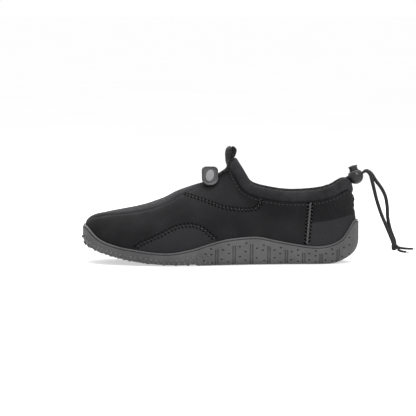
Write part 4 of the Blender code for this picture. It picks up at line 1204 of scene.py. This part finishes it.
def inside_loop(x, y, line):
    xs, ys = line[:, 0], line[:, 1]
    nx, ny = np.roll(xs, -1), np.roll(ys, -1)
    crossed = ((ys > y) != (ny > y)) & (x < (nx - xs) * (y - ys) / (ny - ys + 1e-12) + xs)
    return bool(np.count_nonzero(crossed) % 2)


# Knobs inside the inner rib. Columns: along, across, radius, in millimetres
INNER_KNOBS = (
    (39.8, -10.3, 1.8), (52.9, -8.2, 1.8), (60.2, -12.0, 1.8), (67.6, -10.7, 1.8),
    (82.0, -14.0, 1.8), (64.0, -19.2, 1.8), (76.0, -28.6, 1.8), (47.0, -6.0, 2.6),
    (72.8, -15.8, 2.6), (56.0, -17.2, 2.6), (77.0, -23.4, 2.6), (67.0, -26.0, 2.6),
)


def sole_knobs():
    """Knobs inside the inner rib, and in staggered rows outside the outer one."""
    parts = []
    for x, y, radius in INNER_KNOBS:
        x, y, radius = x / 1000, y / 1000, radius / 1000
        if inside_loop(x, y, RIBS[2][0]):
            parts.append(knob(sole_spot(x, y), DOWN, radius, KNOB_HEIGHT, 12))
    outer = RIBS[0][0]
    for row in range(24):
        for column in range(-12, 13):
            x = KNOB_START + row * KNOB_PITCH + jitter(0.0006)
            y = (column + 0.5 * (row % 2)) * KNOB_SPACING + jitter(0.0006)
            if (x <= RECESS_END - 0.002 and plan_inset(x, y) >= KNOB_FREE
                    and not inside_loop(x, y, outer)
                    and np.min(np.hypot(outer[:, 0] - x, outer[:, 1] - y)) >= KNOB_FREE):
                parts.append(knob(sole_spot(x, y), DOWN, KNOB_RADIUS, KNOB_HEIGHT))
    return parts


def side_point(side, along, share):
    """Point on the sole's side at a share of its height, and its outward direction."""
    place = place_at(side, along)
    line = as_rows(sole_profile(side, place)[:PROFILE_WALL])
    steps = line_steps(line)
    spot, ahead = [Vector([np.interp(share * steps[-1] + more, steps, line[:, axis])
                           for axis in range(3)]) for more in (0.0, 0.0006)]
    _, out = outline_point(side, place)
    along_way = Vector((out[1], -out[0], 0.0))
    up = ahead - spot
    if up.length < 1e-6:
        up = Vector((0.0, 0.0, 1.0))
    normal = along_way.cross(up).normalized()
    if normal.dot(Vector((out[0], out[1], -0.3))) < 0:
        normal = -normal
    return spot, normal, along_way


def wall_knobs():
    """Small knobs in two rows along the lower side, all round the toe."""
    parts = []
    for side in SIDES:
        line = OUTLINES[side]
        steps = line_steps(line)
        reach = steps[-1] * place_at(side, 0.13)
        for at, share in ((0.0015, 0.3), (0.0039, 0.62)):
            while at < reach:
                along = float(np.interp(at, steps, line[:, 0]))
                spot, normal, _ = side_point(side, along, share + jitter(0.05))
                parts.append(knob(spot, normal, 0.0012 + jitter(0.00025), 0.0012))
                at += 0.0052 + jitter(0.0006)
    return parts


# Places of the small pits in one block of the side. Columns: share of the pitch, of the height
PIT_ROWS = ((0.32, 0.8), (0.3, 0.42), (0.68, 0.94), (0.67, 0.66), (0.7, 0.3))
PIT_DEPTH = 0.0008
PIT_SPACING = 0.0084


def sole_pits():
    """Pits in the blocks of the side, and in rows between the waves underneath."""
    parts = []
    for side in SIDES:
        for block in range(-1, GROOVE_COUNT):
            for share, rise in PIT_ROWS:
                along = GROOVE_START + (block + share) * GROOVE_PITCH + jitter(0.0007)
                spot, normal, way = side_point(side, along, min(rise + jitter(0.05), 0.97) * 0.93)
                parts.append(pit(spot, normal, way, 0.0025, 0.0015, PIT_DEPTH))
    wave_shares, wave_shifts = zip(*WAVE_ROWS)
    for block in range(-1, GROOVE_COUNT):
        for column in range(-8, 9):
            for half in (0, 1):
                y = (column + 0.5 * half) * PIT_SPACING + jitter(0.0008)
                start = np.interp(0.5 + y / 0.086, wave_shares, wave_shifts)
                x = GROOVE_START + (block + 0.32 + 0.36 * half + start) * GROOVE_PITCH
                x += jitter(0.0007)
                if RECESS_END + 0.006 <= x <= 0.262 and plan_inset(x, y) >= 0.0105:
                    parts.append(pit(sole_spot(x, y), DOWN, Vector((0, 1, 0)), 0.0024, 0.0018,
                                     PIT_DEPTH))
    return parts


def combine(target, tools, operation):
    """Cuts the tools out of the target, or joins them to it."""
    for tool in tools:
        step = target.modifiers.new(tool.name, "BOOLEAN")
        step.operation = operation
        step.solver = "MANIFOLD"
        step.material_mode = "TRANSFER"
        step.object = tool


sole = raw_piece("sole_rubber", fine_sole(), RUBBER_LOOK)
# Grooves and pits carry darker rubber as painted shade; knobs and studs carry lighter rubber as
# wear and painted highlight
grooves = raw_piece("grooves", merge([
    tube(groove_line(n, offset), [GROOVE_RADIUS] * GROOVE_STEPS)
    for n in range(GROOVE_COUNT) for offset in (-GROOVE_HALF_GAP, GROOVE_HALF_GAP)]), GROOVE_SHADE_LOOK)
raised = []
for line, out in RIBS:
    for turn in (-0.5, 0.5):
        route = as_rows(sole_spot(x, y) for x, y in line + out * turn * RIB_GAP)
        raised.append(raw_piece(f"ribs_{len(raised)}", closed_tube(route, RELIEF), RUBBER_LOOK))
raised.append(raw_piece("knobs", merge(sole_knobs()), WORN_AND_LIT_LOOK))
raised.append(raw_piece("studs", merge(wall_knobs()), WORN_AND_LIT_LOOK))
sunk = [grooves, raw_piece("pits", merge(sole_pits()), PIT_SHADE_LOOK)]
combine(sole, sunk, "DIFFERENCE")
combine(sole, raised, "UNION")
bake_modifiers(sole, 38)
for tool in sunk + raised:
    bpy.data.objects.remove(tool)
settle(sole, "shoe", "outsole")


# Insole. Columns: inset, height
INSOLE_ROWS = ((0.0, 0.0), (-0.0002, 0.0008), (0.0, 0.0022), (0.0006, INSOLE_THICKNESS - 0.0002),
               (0.0016, INSOLE_THICKNESS))


def fine_insole():
    inset = RIM_WALL + CLEAR + WALL + CLEAR
    stations = stations_round([n / 90 for n in range(91)])
    points = []
    for inward, rise in INSOLE_ROWS:
        points += [floor_point(side, place, inset + inward, lambda x: cup_height(x) + CLEAR + rise)
                   for side, place in stations]
    numbers = ring_numbers(len(INSOLE_ROWS), len(stations))
    faces = skin_rings(len(INSOLE_ROWS), len(stations), "open")
    faces += cap(points, numbers[0], lambda x: cup_height(x) + CLEAR, 8)
    faces += cap(points, numbers[-1], lambda x: cup_height(x) + CLEAR + INSOLE_THICKNESS, 16)
    return points, faces


add_piece("insole_cloth", fine_insole(), lining_material(), "insole", "insole_cloth")

# Badge: plain patch with a bare oval pad, laid on the upper
BADGE_TILT = math.radians(54)
BADGE_LENGTH = 0.0225
BADGE_WIDTH = 0.0165
BADGE_THICKNESS = 0.0018
BADGE_DROP = 0.0014
PAD_LEAN = math.radians(-14)
PAD_HALF_WIDTH = 0.0041
PAD_HALF_LENGTH = 0.0068
# Columns: share from the oval's edge to the patch's edge, or of the oval when below 0; height over
# the face; on the pad
BADGE_ROWS = (
    (0.95, -BADGE_THICKNESS, 0.0), (1.0, 0.0004 - BADGE_THICKNESS, 0.0), (1.0, -0.0005, 0.0),
    (0.975, -0.00012, 0.0), (0.93, 0.0, 0.0), (0.8, 0.0, 0.0), (0.76, -0.0003, 0.0),
    (0.4, -0.0004, 0.0), (0.06, -0.0004, 0.0), (0.0, -0.0002, 0.6), (0.0, 0.0002, 1.0),
    (-0.1, 0.0004, 1.0), (-0.3, 0.0005, 1.0), (-0.65, 0.0006, 1.0), (-0.96, 0.0006, 1.0),
)


def badge_outline():
    """Outline of the patch, round below and with two soft corners above."""
    half, corner = 0.5 * BADGE_WIDTH, 0.28 * BADGE_WIDTH
    outline = []
    for step in range(33):
        turn = math.pi + math.pi * step / 32
        outline.append((half * math.cos(turn),
                        -0.5 * BADGE_LENGTH + half + half * math.sin(turn)))
    for start, side in ((0.0, half - corner), (0.5 * math.pi, corner - half)):
        for step in range(13):
            turn = start + 0.5 * math.pi * step / 12
            outline.append((side + corner * math.cos(turn),
                            0.5 * BADGE_LENGTH - corner + corner * math.sin(turn)))
    return resample(np.array(outline + outline[:1]), 97)[:-1]


def build_badge():
    low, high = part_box("badge")
    facing = Vector((0.0, -math.sin(BADGE_TILT), math.cos(BADGE_TILT)))
    upward = Vector((0.0, facing.z, -facing.y))
    middle = (low + high) / 2 + SHIFT
    outline = badge_outline()
    turns = np.arctan2(outline[:, 1], outline[:, 0])
    oval = np.stack((PAD_HALF_WIDTH * np.cos(turns), PAD_HALF_LENGTH * np.sin(turns)), axis=1)
    oval = oval @ np.array([[math.cos(PAD_LEAN), math.sin(PAD_LEAN)],
                            [-math.sin(PAD_LEAN), math.cos(PAD_LEAN)]])
    ups = np.linspace(-0.5 * BADGE_LENGTH, 0.5 * BADGE_LENGTH, 41)
    rises = []
    for up in ups:
        found = [0.0]
        for x in (-0.4 * BADGE_WIDTH, 0.0, 0.4 * BADGE_WIDTH):
            spot = middle + Vector((x, 0.0, 0.0)) + upward * (up - BADGE_DROP)
            hit = skin_tree.ray_cast(spot + facing * 0.03, -facing)[0]
            if hit:
                found.append((hit - spot).dot(facing) + 0.5 * BADGE_THICKNESS + 0.0002)
        rises.append(max(found))
    rises = np.convolve(np.pad(rises, 4, "edge"), np.ones(9) / 9, "valid")
    points, pad = [], []
    for share, height, on_pad in BADGE_ROWS:
        ring = oval + (outline - oval) * share if share >= 0.0 else oval * (1.0 + share)
        for x, up in ring:
            spot = middle + Vector((x - 0.02 * up, 0.0, 0.0)) + upward * (up - BADGE_DROP)
            depth = 0.5 * BADGE_THICKNESS + height
            points.append(spot + facing * (depth + float(np.interp(up, ups, rises))))
            pad.append(on_pad)
    add_piece("badge_patch", (points, skin_rings(len(BADGE_ROWS), len(outline))),
              badge_material(), "badge", "badge_rubber", pad=pad)


build_badge()

# Webbing loop, turned a little so that its flat side shows
LOOP_ROUTE = (
    (-0.0002, -0.0006), (0.001, 0.002), (0.001, 0.0048), (0.0016, 0.0085), (0.0036, 0.0118),
    (0.005, 0.015), (0.0055, 0.0184), (0.0032, 0.0206), (0.0008, 0.0192), (-0.0004, 0.0146),
    (-0.0002, 0.01), (-0.0004, 0.006), (-0.0004, 0.0034), (-0.001, 0.0014),
)
LOOP_TAIL = (-0.0026, -0.005, -0.0078, -0.0105)
LOOP_THICKNESS = 0.0015
LOOP_WIDTH = 0.008
LOOP_TWIST = math.radians(38)
LOOP_SAG = 0.0045
LOOP_SECTION = ((-0.5, -0.3), (-0.46, -0.5), (0.0, -0.56), (0.46, -0.5), (0.5, -0.3),
                (0.5, 0.3), (0.46, 0.5), (0.0, 0.56), (-0.46, 0.5), (-0.5, 0.3))


def build_loop():
    throat = top_point(LATERAL, THROAT_PLACE)

    def on_ridge(behind, lift):
        x = throat.x + behind
        return x, ridge_height(x) + lift * LOOP_THICKNESS

    route = [on_ridge(behind, 0.1) for behind in LOOP_ROOTS]
    route += [(throat.x + behind, throat.z + above) for behind, above in LOOP_ROUTE]
    route += [on_ridge(behind, 0.7) for behind in LOOP_TAIL]
    line = smooth_line(route, 10)
    steps = line_steps(line)
    points, cloth = [], []
    for number, spot in enumerate(line):
        run = line[min(number + 1, len(line) - 1)] - line[max(number - 1, 0)]
        run = run / np.linalg.norm(run)
        way = Vector((run[0], 0.0, run[1]))
        height = spot[1] - throat.z
        twist = LOOP_TWIST * float(smooth_step(height, -0.001, 0.01))
        flat = Matrix.Rotation(twist, 3, "Z") @ Vector((0.0, 1.0, 0.0))
        flat = (flat - way * flat.dot(way)).normalized()
        out = flat.cross(way)
        centre = Vector((spot[0], 0.0, spot[1]))
        freed = float(smooth_step(height, 0.0, 0.008))
        wide = LOOP_WIDTH * (0.55 + 0.45 * freed)
        for across, through in LOOP_SECTION:
            sag = Vector((0.0, 0.0, -LOOP_SAG * (1.0 - freed) * across ** 2))
            points.append(centre + flat * across * wide + out * through * LOOP_THICKNESS + sag)
            cloth.append((steps[number], across * wide, 0.0))
    add_piece("webbing_loop", (points, skin_rings(len(line), len(LOOP_SECTION))),
              webbing_material(), "pull_loop", "webbing", 50, cloth=cloth)


build_loop()

# Cord lock
LOCK_FRAME = Matrix.Translation(BALL_CENTRE) @ Matrix.Rotation(-LOCK_LEAN, 4, "Y")
LOCK_SIDES = 48
BORE_RADIUS = 0.0045
PIN_RADIUS = 0.0042
PIN_HEAD = 0.0046
HOLE_HALF_WIDTH = 0.5 * (CORD_SPACING + CORD_DIAMETER) + CLEAR
HOLE_HALF_HEIGHT = 0.5 * CORD_DIAMETER + CLEAR
HOLE_LOW = CORD_HOLE_RISE - HOLE_HALF_HEIGHT
HOLE_HIGH = CORD_HOLE_RISE + HOLE_HALF_HEIGHT
PIN_FOOT = HOLE_LOW - 0.0015
PIN_ROWS = (
    (0.0004, PIN_FOOT), (PIN_RADIUS - 0.0003, PIN_FOOT), (PIN_RADIUS, PIN_FOOT + 0.0003),
    (PIN_RADIUS, 0.009), (PIN_HEAD - 0.0001, 0.0096), (PIN_HEAD, 0.0098), (PIN_HEAD, 0.0106),
    (PIN_HEAD - 0.0002, 0.011), (PIN_HEAD - 0.0007, 0.0113), (PIN_HEAD - 0.0013, 0.0113),
    (PIN_HEAD - 0.0018, 0.011), (0.0012, 0.0109), (0.0004, 0.0109),
)


def ball_rows():
    """Half section of the ball with its bore. Columns: radius, height."""
    edge = math.acos(BORE_RADIUS / BALL_RADIUS)
    top, bottom = BALL_RADIUS * math.sin(edge), PIN_FOOT - 0.003 - CLEAR
    rows = []
    for step in range(25):
        turn = -0.5 * math.pi + 0.02 + (edge + 0.5 * math.pi - 0.06) * step / 24
        rows.append((BALL_RADIUS * math.cos(turn), BALL_RADIUS * math.sin(turn)))
    return rows + [(BORE_RADIUS + 0.0004, top + 0.0001), (BORE_RADIUS + 0.0001, top - 0.0001),
                   (BORE_RADIUS, top - 0.0004), (BORE_RADIUS, bottom + 0.0002),
                   (BORE_RADIUS - 0.0003, bottom), (0.0004, bottom)]


def slot_shape(low, high):
    """Long round-ended bar that cuts the cord's hole."""
    radius = min(HOLE_HALF_HEIGHT, 0.5 * (high - low))
    points = []
    for x in (-0.02, 0.02):
        for c, s in circle(24):
            y = math.copysign(HOLE_HALF_WIDTH - radius, c) + radius * c
            middle = high - radius if s >= 0 else low + radius
            points.append(LOCK_FRAME @ Vector((x, y, middle + radius * s)))
    return points, skin_rings(2, 24)


def build_lock():
    for name, rows, hole_top, body, node in (
            ("lock_ball", ball_rows(), HOLE_HIGH, "shoe", "lock_barrel"),
            ("lock_pin", PIN_ROWS, HOLE_HIGH + 0.003, "plunger", "lock_plunger")):
        points = [LOCK_FRAME @ Vector((radius * c, radius * s, height))
                  for radius, height in rows for c, s in circle(LOCK_SIDES)]
        piece = raw_piece(name, (points, skin_rings(len(rows), LOCK_SIDES)), PLASTIC_LOOK)
        tool = raw_piece("cord_hole", slot_shape(HOLE_LOW, hole_top), PLASTIC_LOOK)
        combine(piece, [tool], "DIFFERENCE")
        bake_modifiers(piece, 42)
        bpy.data.objects.remove(tool)
        settle(piece, body, node)


build_lock()

# Drawcord
CORD_SWELL = 0.00055
CORD_STEPS = 110
TAIL_STEPS = 26
KNOT_CENTRE = Vector((BALL_CENTRE.x + KNOT_BEHIND, 0.0, KNOT_HEIGHT))
KNOT_REACH = 0.0018
FRAY_SHARES = (0.0, 0.35, 0.7, 1.0)
FRAY_RADII = (0.00018, 0.00016, 0.00013, 0.00005)
FRAY_LENGTH = 0.0046


def strand_route(number):
    across = (number - 0.5) * CORD_SPACING
    axis = Vector((-math.sin(LOCK_LEAN), 0.0, math.cos(LOCK_LEAN)))
    through = Vector((math.cos(LOCK_LEAN), 0.0, math.sin(LOCK_LEAN)))
    seat = BALL_CENTRE.z - LOCK_RADIUS - CLEAR
    hole = BALL_CENTRE + axis * CORD_HOLE_RISE + Vector((0.0, across, 0.0))
    route = [(BALL_CENTRE.x + behind, across, seat + above) for behind, above in STRAND_ROOTS]
    route += [hole + through * LOCK_RADIUS * share for share in (-1.0, -0.5, 0.0, 0.5, 1.0)]
    route += [(BALL_CENTRE.x + behind, y, z) for behind, y, z in STRAND_ROUTES[number]]
    route.append((KNOT_CENTRE.x - 0.0004, 0.3 * across, KNOT_HEIGHT + 0.0008))
    return resample(smooth_line(route, 12), CORD_STEPS)


def cord_piece(name, node, line, radii, sides=14):
    steps = line_steps(line)
    cloth = [(step, radius * 2 * math.pi * n / sides, 0.0)
             for step, radius in zip(steps, radii) for n in range(sides)]
    return add_piece(name, tube(line, radii, sides), ELASTIC_LOOK, node, "elastic", cloth=cloth)


def fray_parts(line):
    """Loose fibres at the end of a tail."""
    run = Vector(line[-1] - line[-2]).normalized()
    parts = []
    for _ in range(7):
        bend = Vector(rng.uniform(-1, 1, 3) * 0.45)
        path = [tuple(Vector(line[-3]) + (run + bend * t) * FRAY_LENGTH * t
                      + Vector((0, 0, -0.0006 * t * t))) for t in FRAY_SHARES]
        parts.append(tube(path, FRAY_RADII, 5))
    return parts


def build_cords():
    loop = []
    for step in range(120):
        turn = 2 * math.pi * step / 120
        reach = KNOT_REACH * (1.0 + 0.5 * math.cos(3 * turn))
        loop.append((reach * math.cos(2 * turn), 0.0016 * math.sin(3 * turn),
                     reach * math.sin(2 * turn)))
    points, faces = closed_tube(np.array(loop) + np.array(tuple(KNOT_CENTRE)), 0.00122)
    cloth = [(n // 12 * 0.0003, 0.0005 * (n % 12), 0.0) for n in range(len(points))]
    knot = add_piece("cord_knot", (points, faces), ELASTIC_LOOK, "drawcord_knot", "elastic",
                     cloth=cloth)
    for number, rows in enumerate(TAIL_ROUTES):
        line = smooth_line([KNOT_CENTRE + Vector(row) for row in rows], 8)
        line = resample(line, TAIL_STEPS)
        radii = [0.5 * TAIL_DIAMETER * (1.7 - 0.35 * n / 25 + 0.05 * math.sin(3.1 * n))
                 for n in range(TAIL_STEPS)]
        tail = cord_piece(f"cord_end_{number + 1}", f"drawcord_end_{number + 1}", line, radii, 10)
        fray = add_piece(f"cord_fray_{number + 1}", merge(fray_parts(line)), ELASTIC_LOOK,
                         slot="elastic")
        line = strand_route(number)
        radii = 0.5 * CORD_DIAMETER + CORD_SWELL * smooth_step(np.arange(len(line)), 22, 30)
        strand = cord_piece(f"cord_strand_{number + 1}", f"drawcord_strand_{number + 1}", line,
                            radii)


build_cords()

# Pale floor and soft studio light
PAPER_GLOW = 0.55
floor_mesh = bpy.data.meshes.new("floor")
floor_mesh.from_pydata([(-40, -40, 0), (40, -40, 0), (40, 40, 0), (-40, 40, 0)], [], [(0, 1, 2, 3)])
paper = Shader("floor_paper", 0.9, Specular_IOR_Level=0.0, Emission_Color=grey(1.0, 1.0),
               Emission_Strength=PAPER_GLOW)
floor_mesh.materials.append(paper.finish(paper.mix(paper.noise(3.0), grey(0.42, 0.42),
                                                   grey(0.45, 0.45))))
floor = link_object("floor", floor_mesh)
floor.location.z = -0.0002

world = bpy.data.worlds.new("studio")
bpy.context.scene.world = world
world.use_nodes = True
background = world.node_tree.nodes["Background"].inputs
background["Color"].default_value = grey(1.0, 1.0)
background["Strength"].default_value = 1.0

# Columns: name, place, aim height, width, depth, power
for name, place, aim, width, depth, power in (
        ("key", (0.45, -0.9, 1.1), 0.05, 0.6, 0.6, 12.0),
        ("top", (-0.1, 0.3, 1.2), 0.05, 1.0, 0.5, 16.0),
        ("rim", (-0.1, 0.95, 0.55), 0.06, 1.2, 0.4, 9.0)):
    data = bpy.data.lights.new(name, "AREA")
    data.shape = "RECTANGLE"
    data.size, data.size_y = width, depth
    data.energy = power
    link_object(name, data, place, (0.0, 0.0, aim))
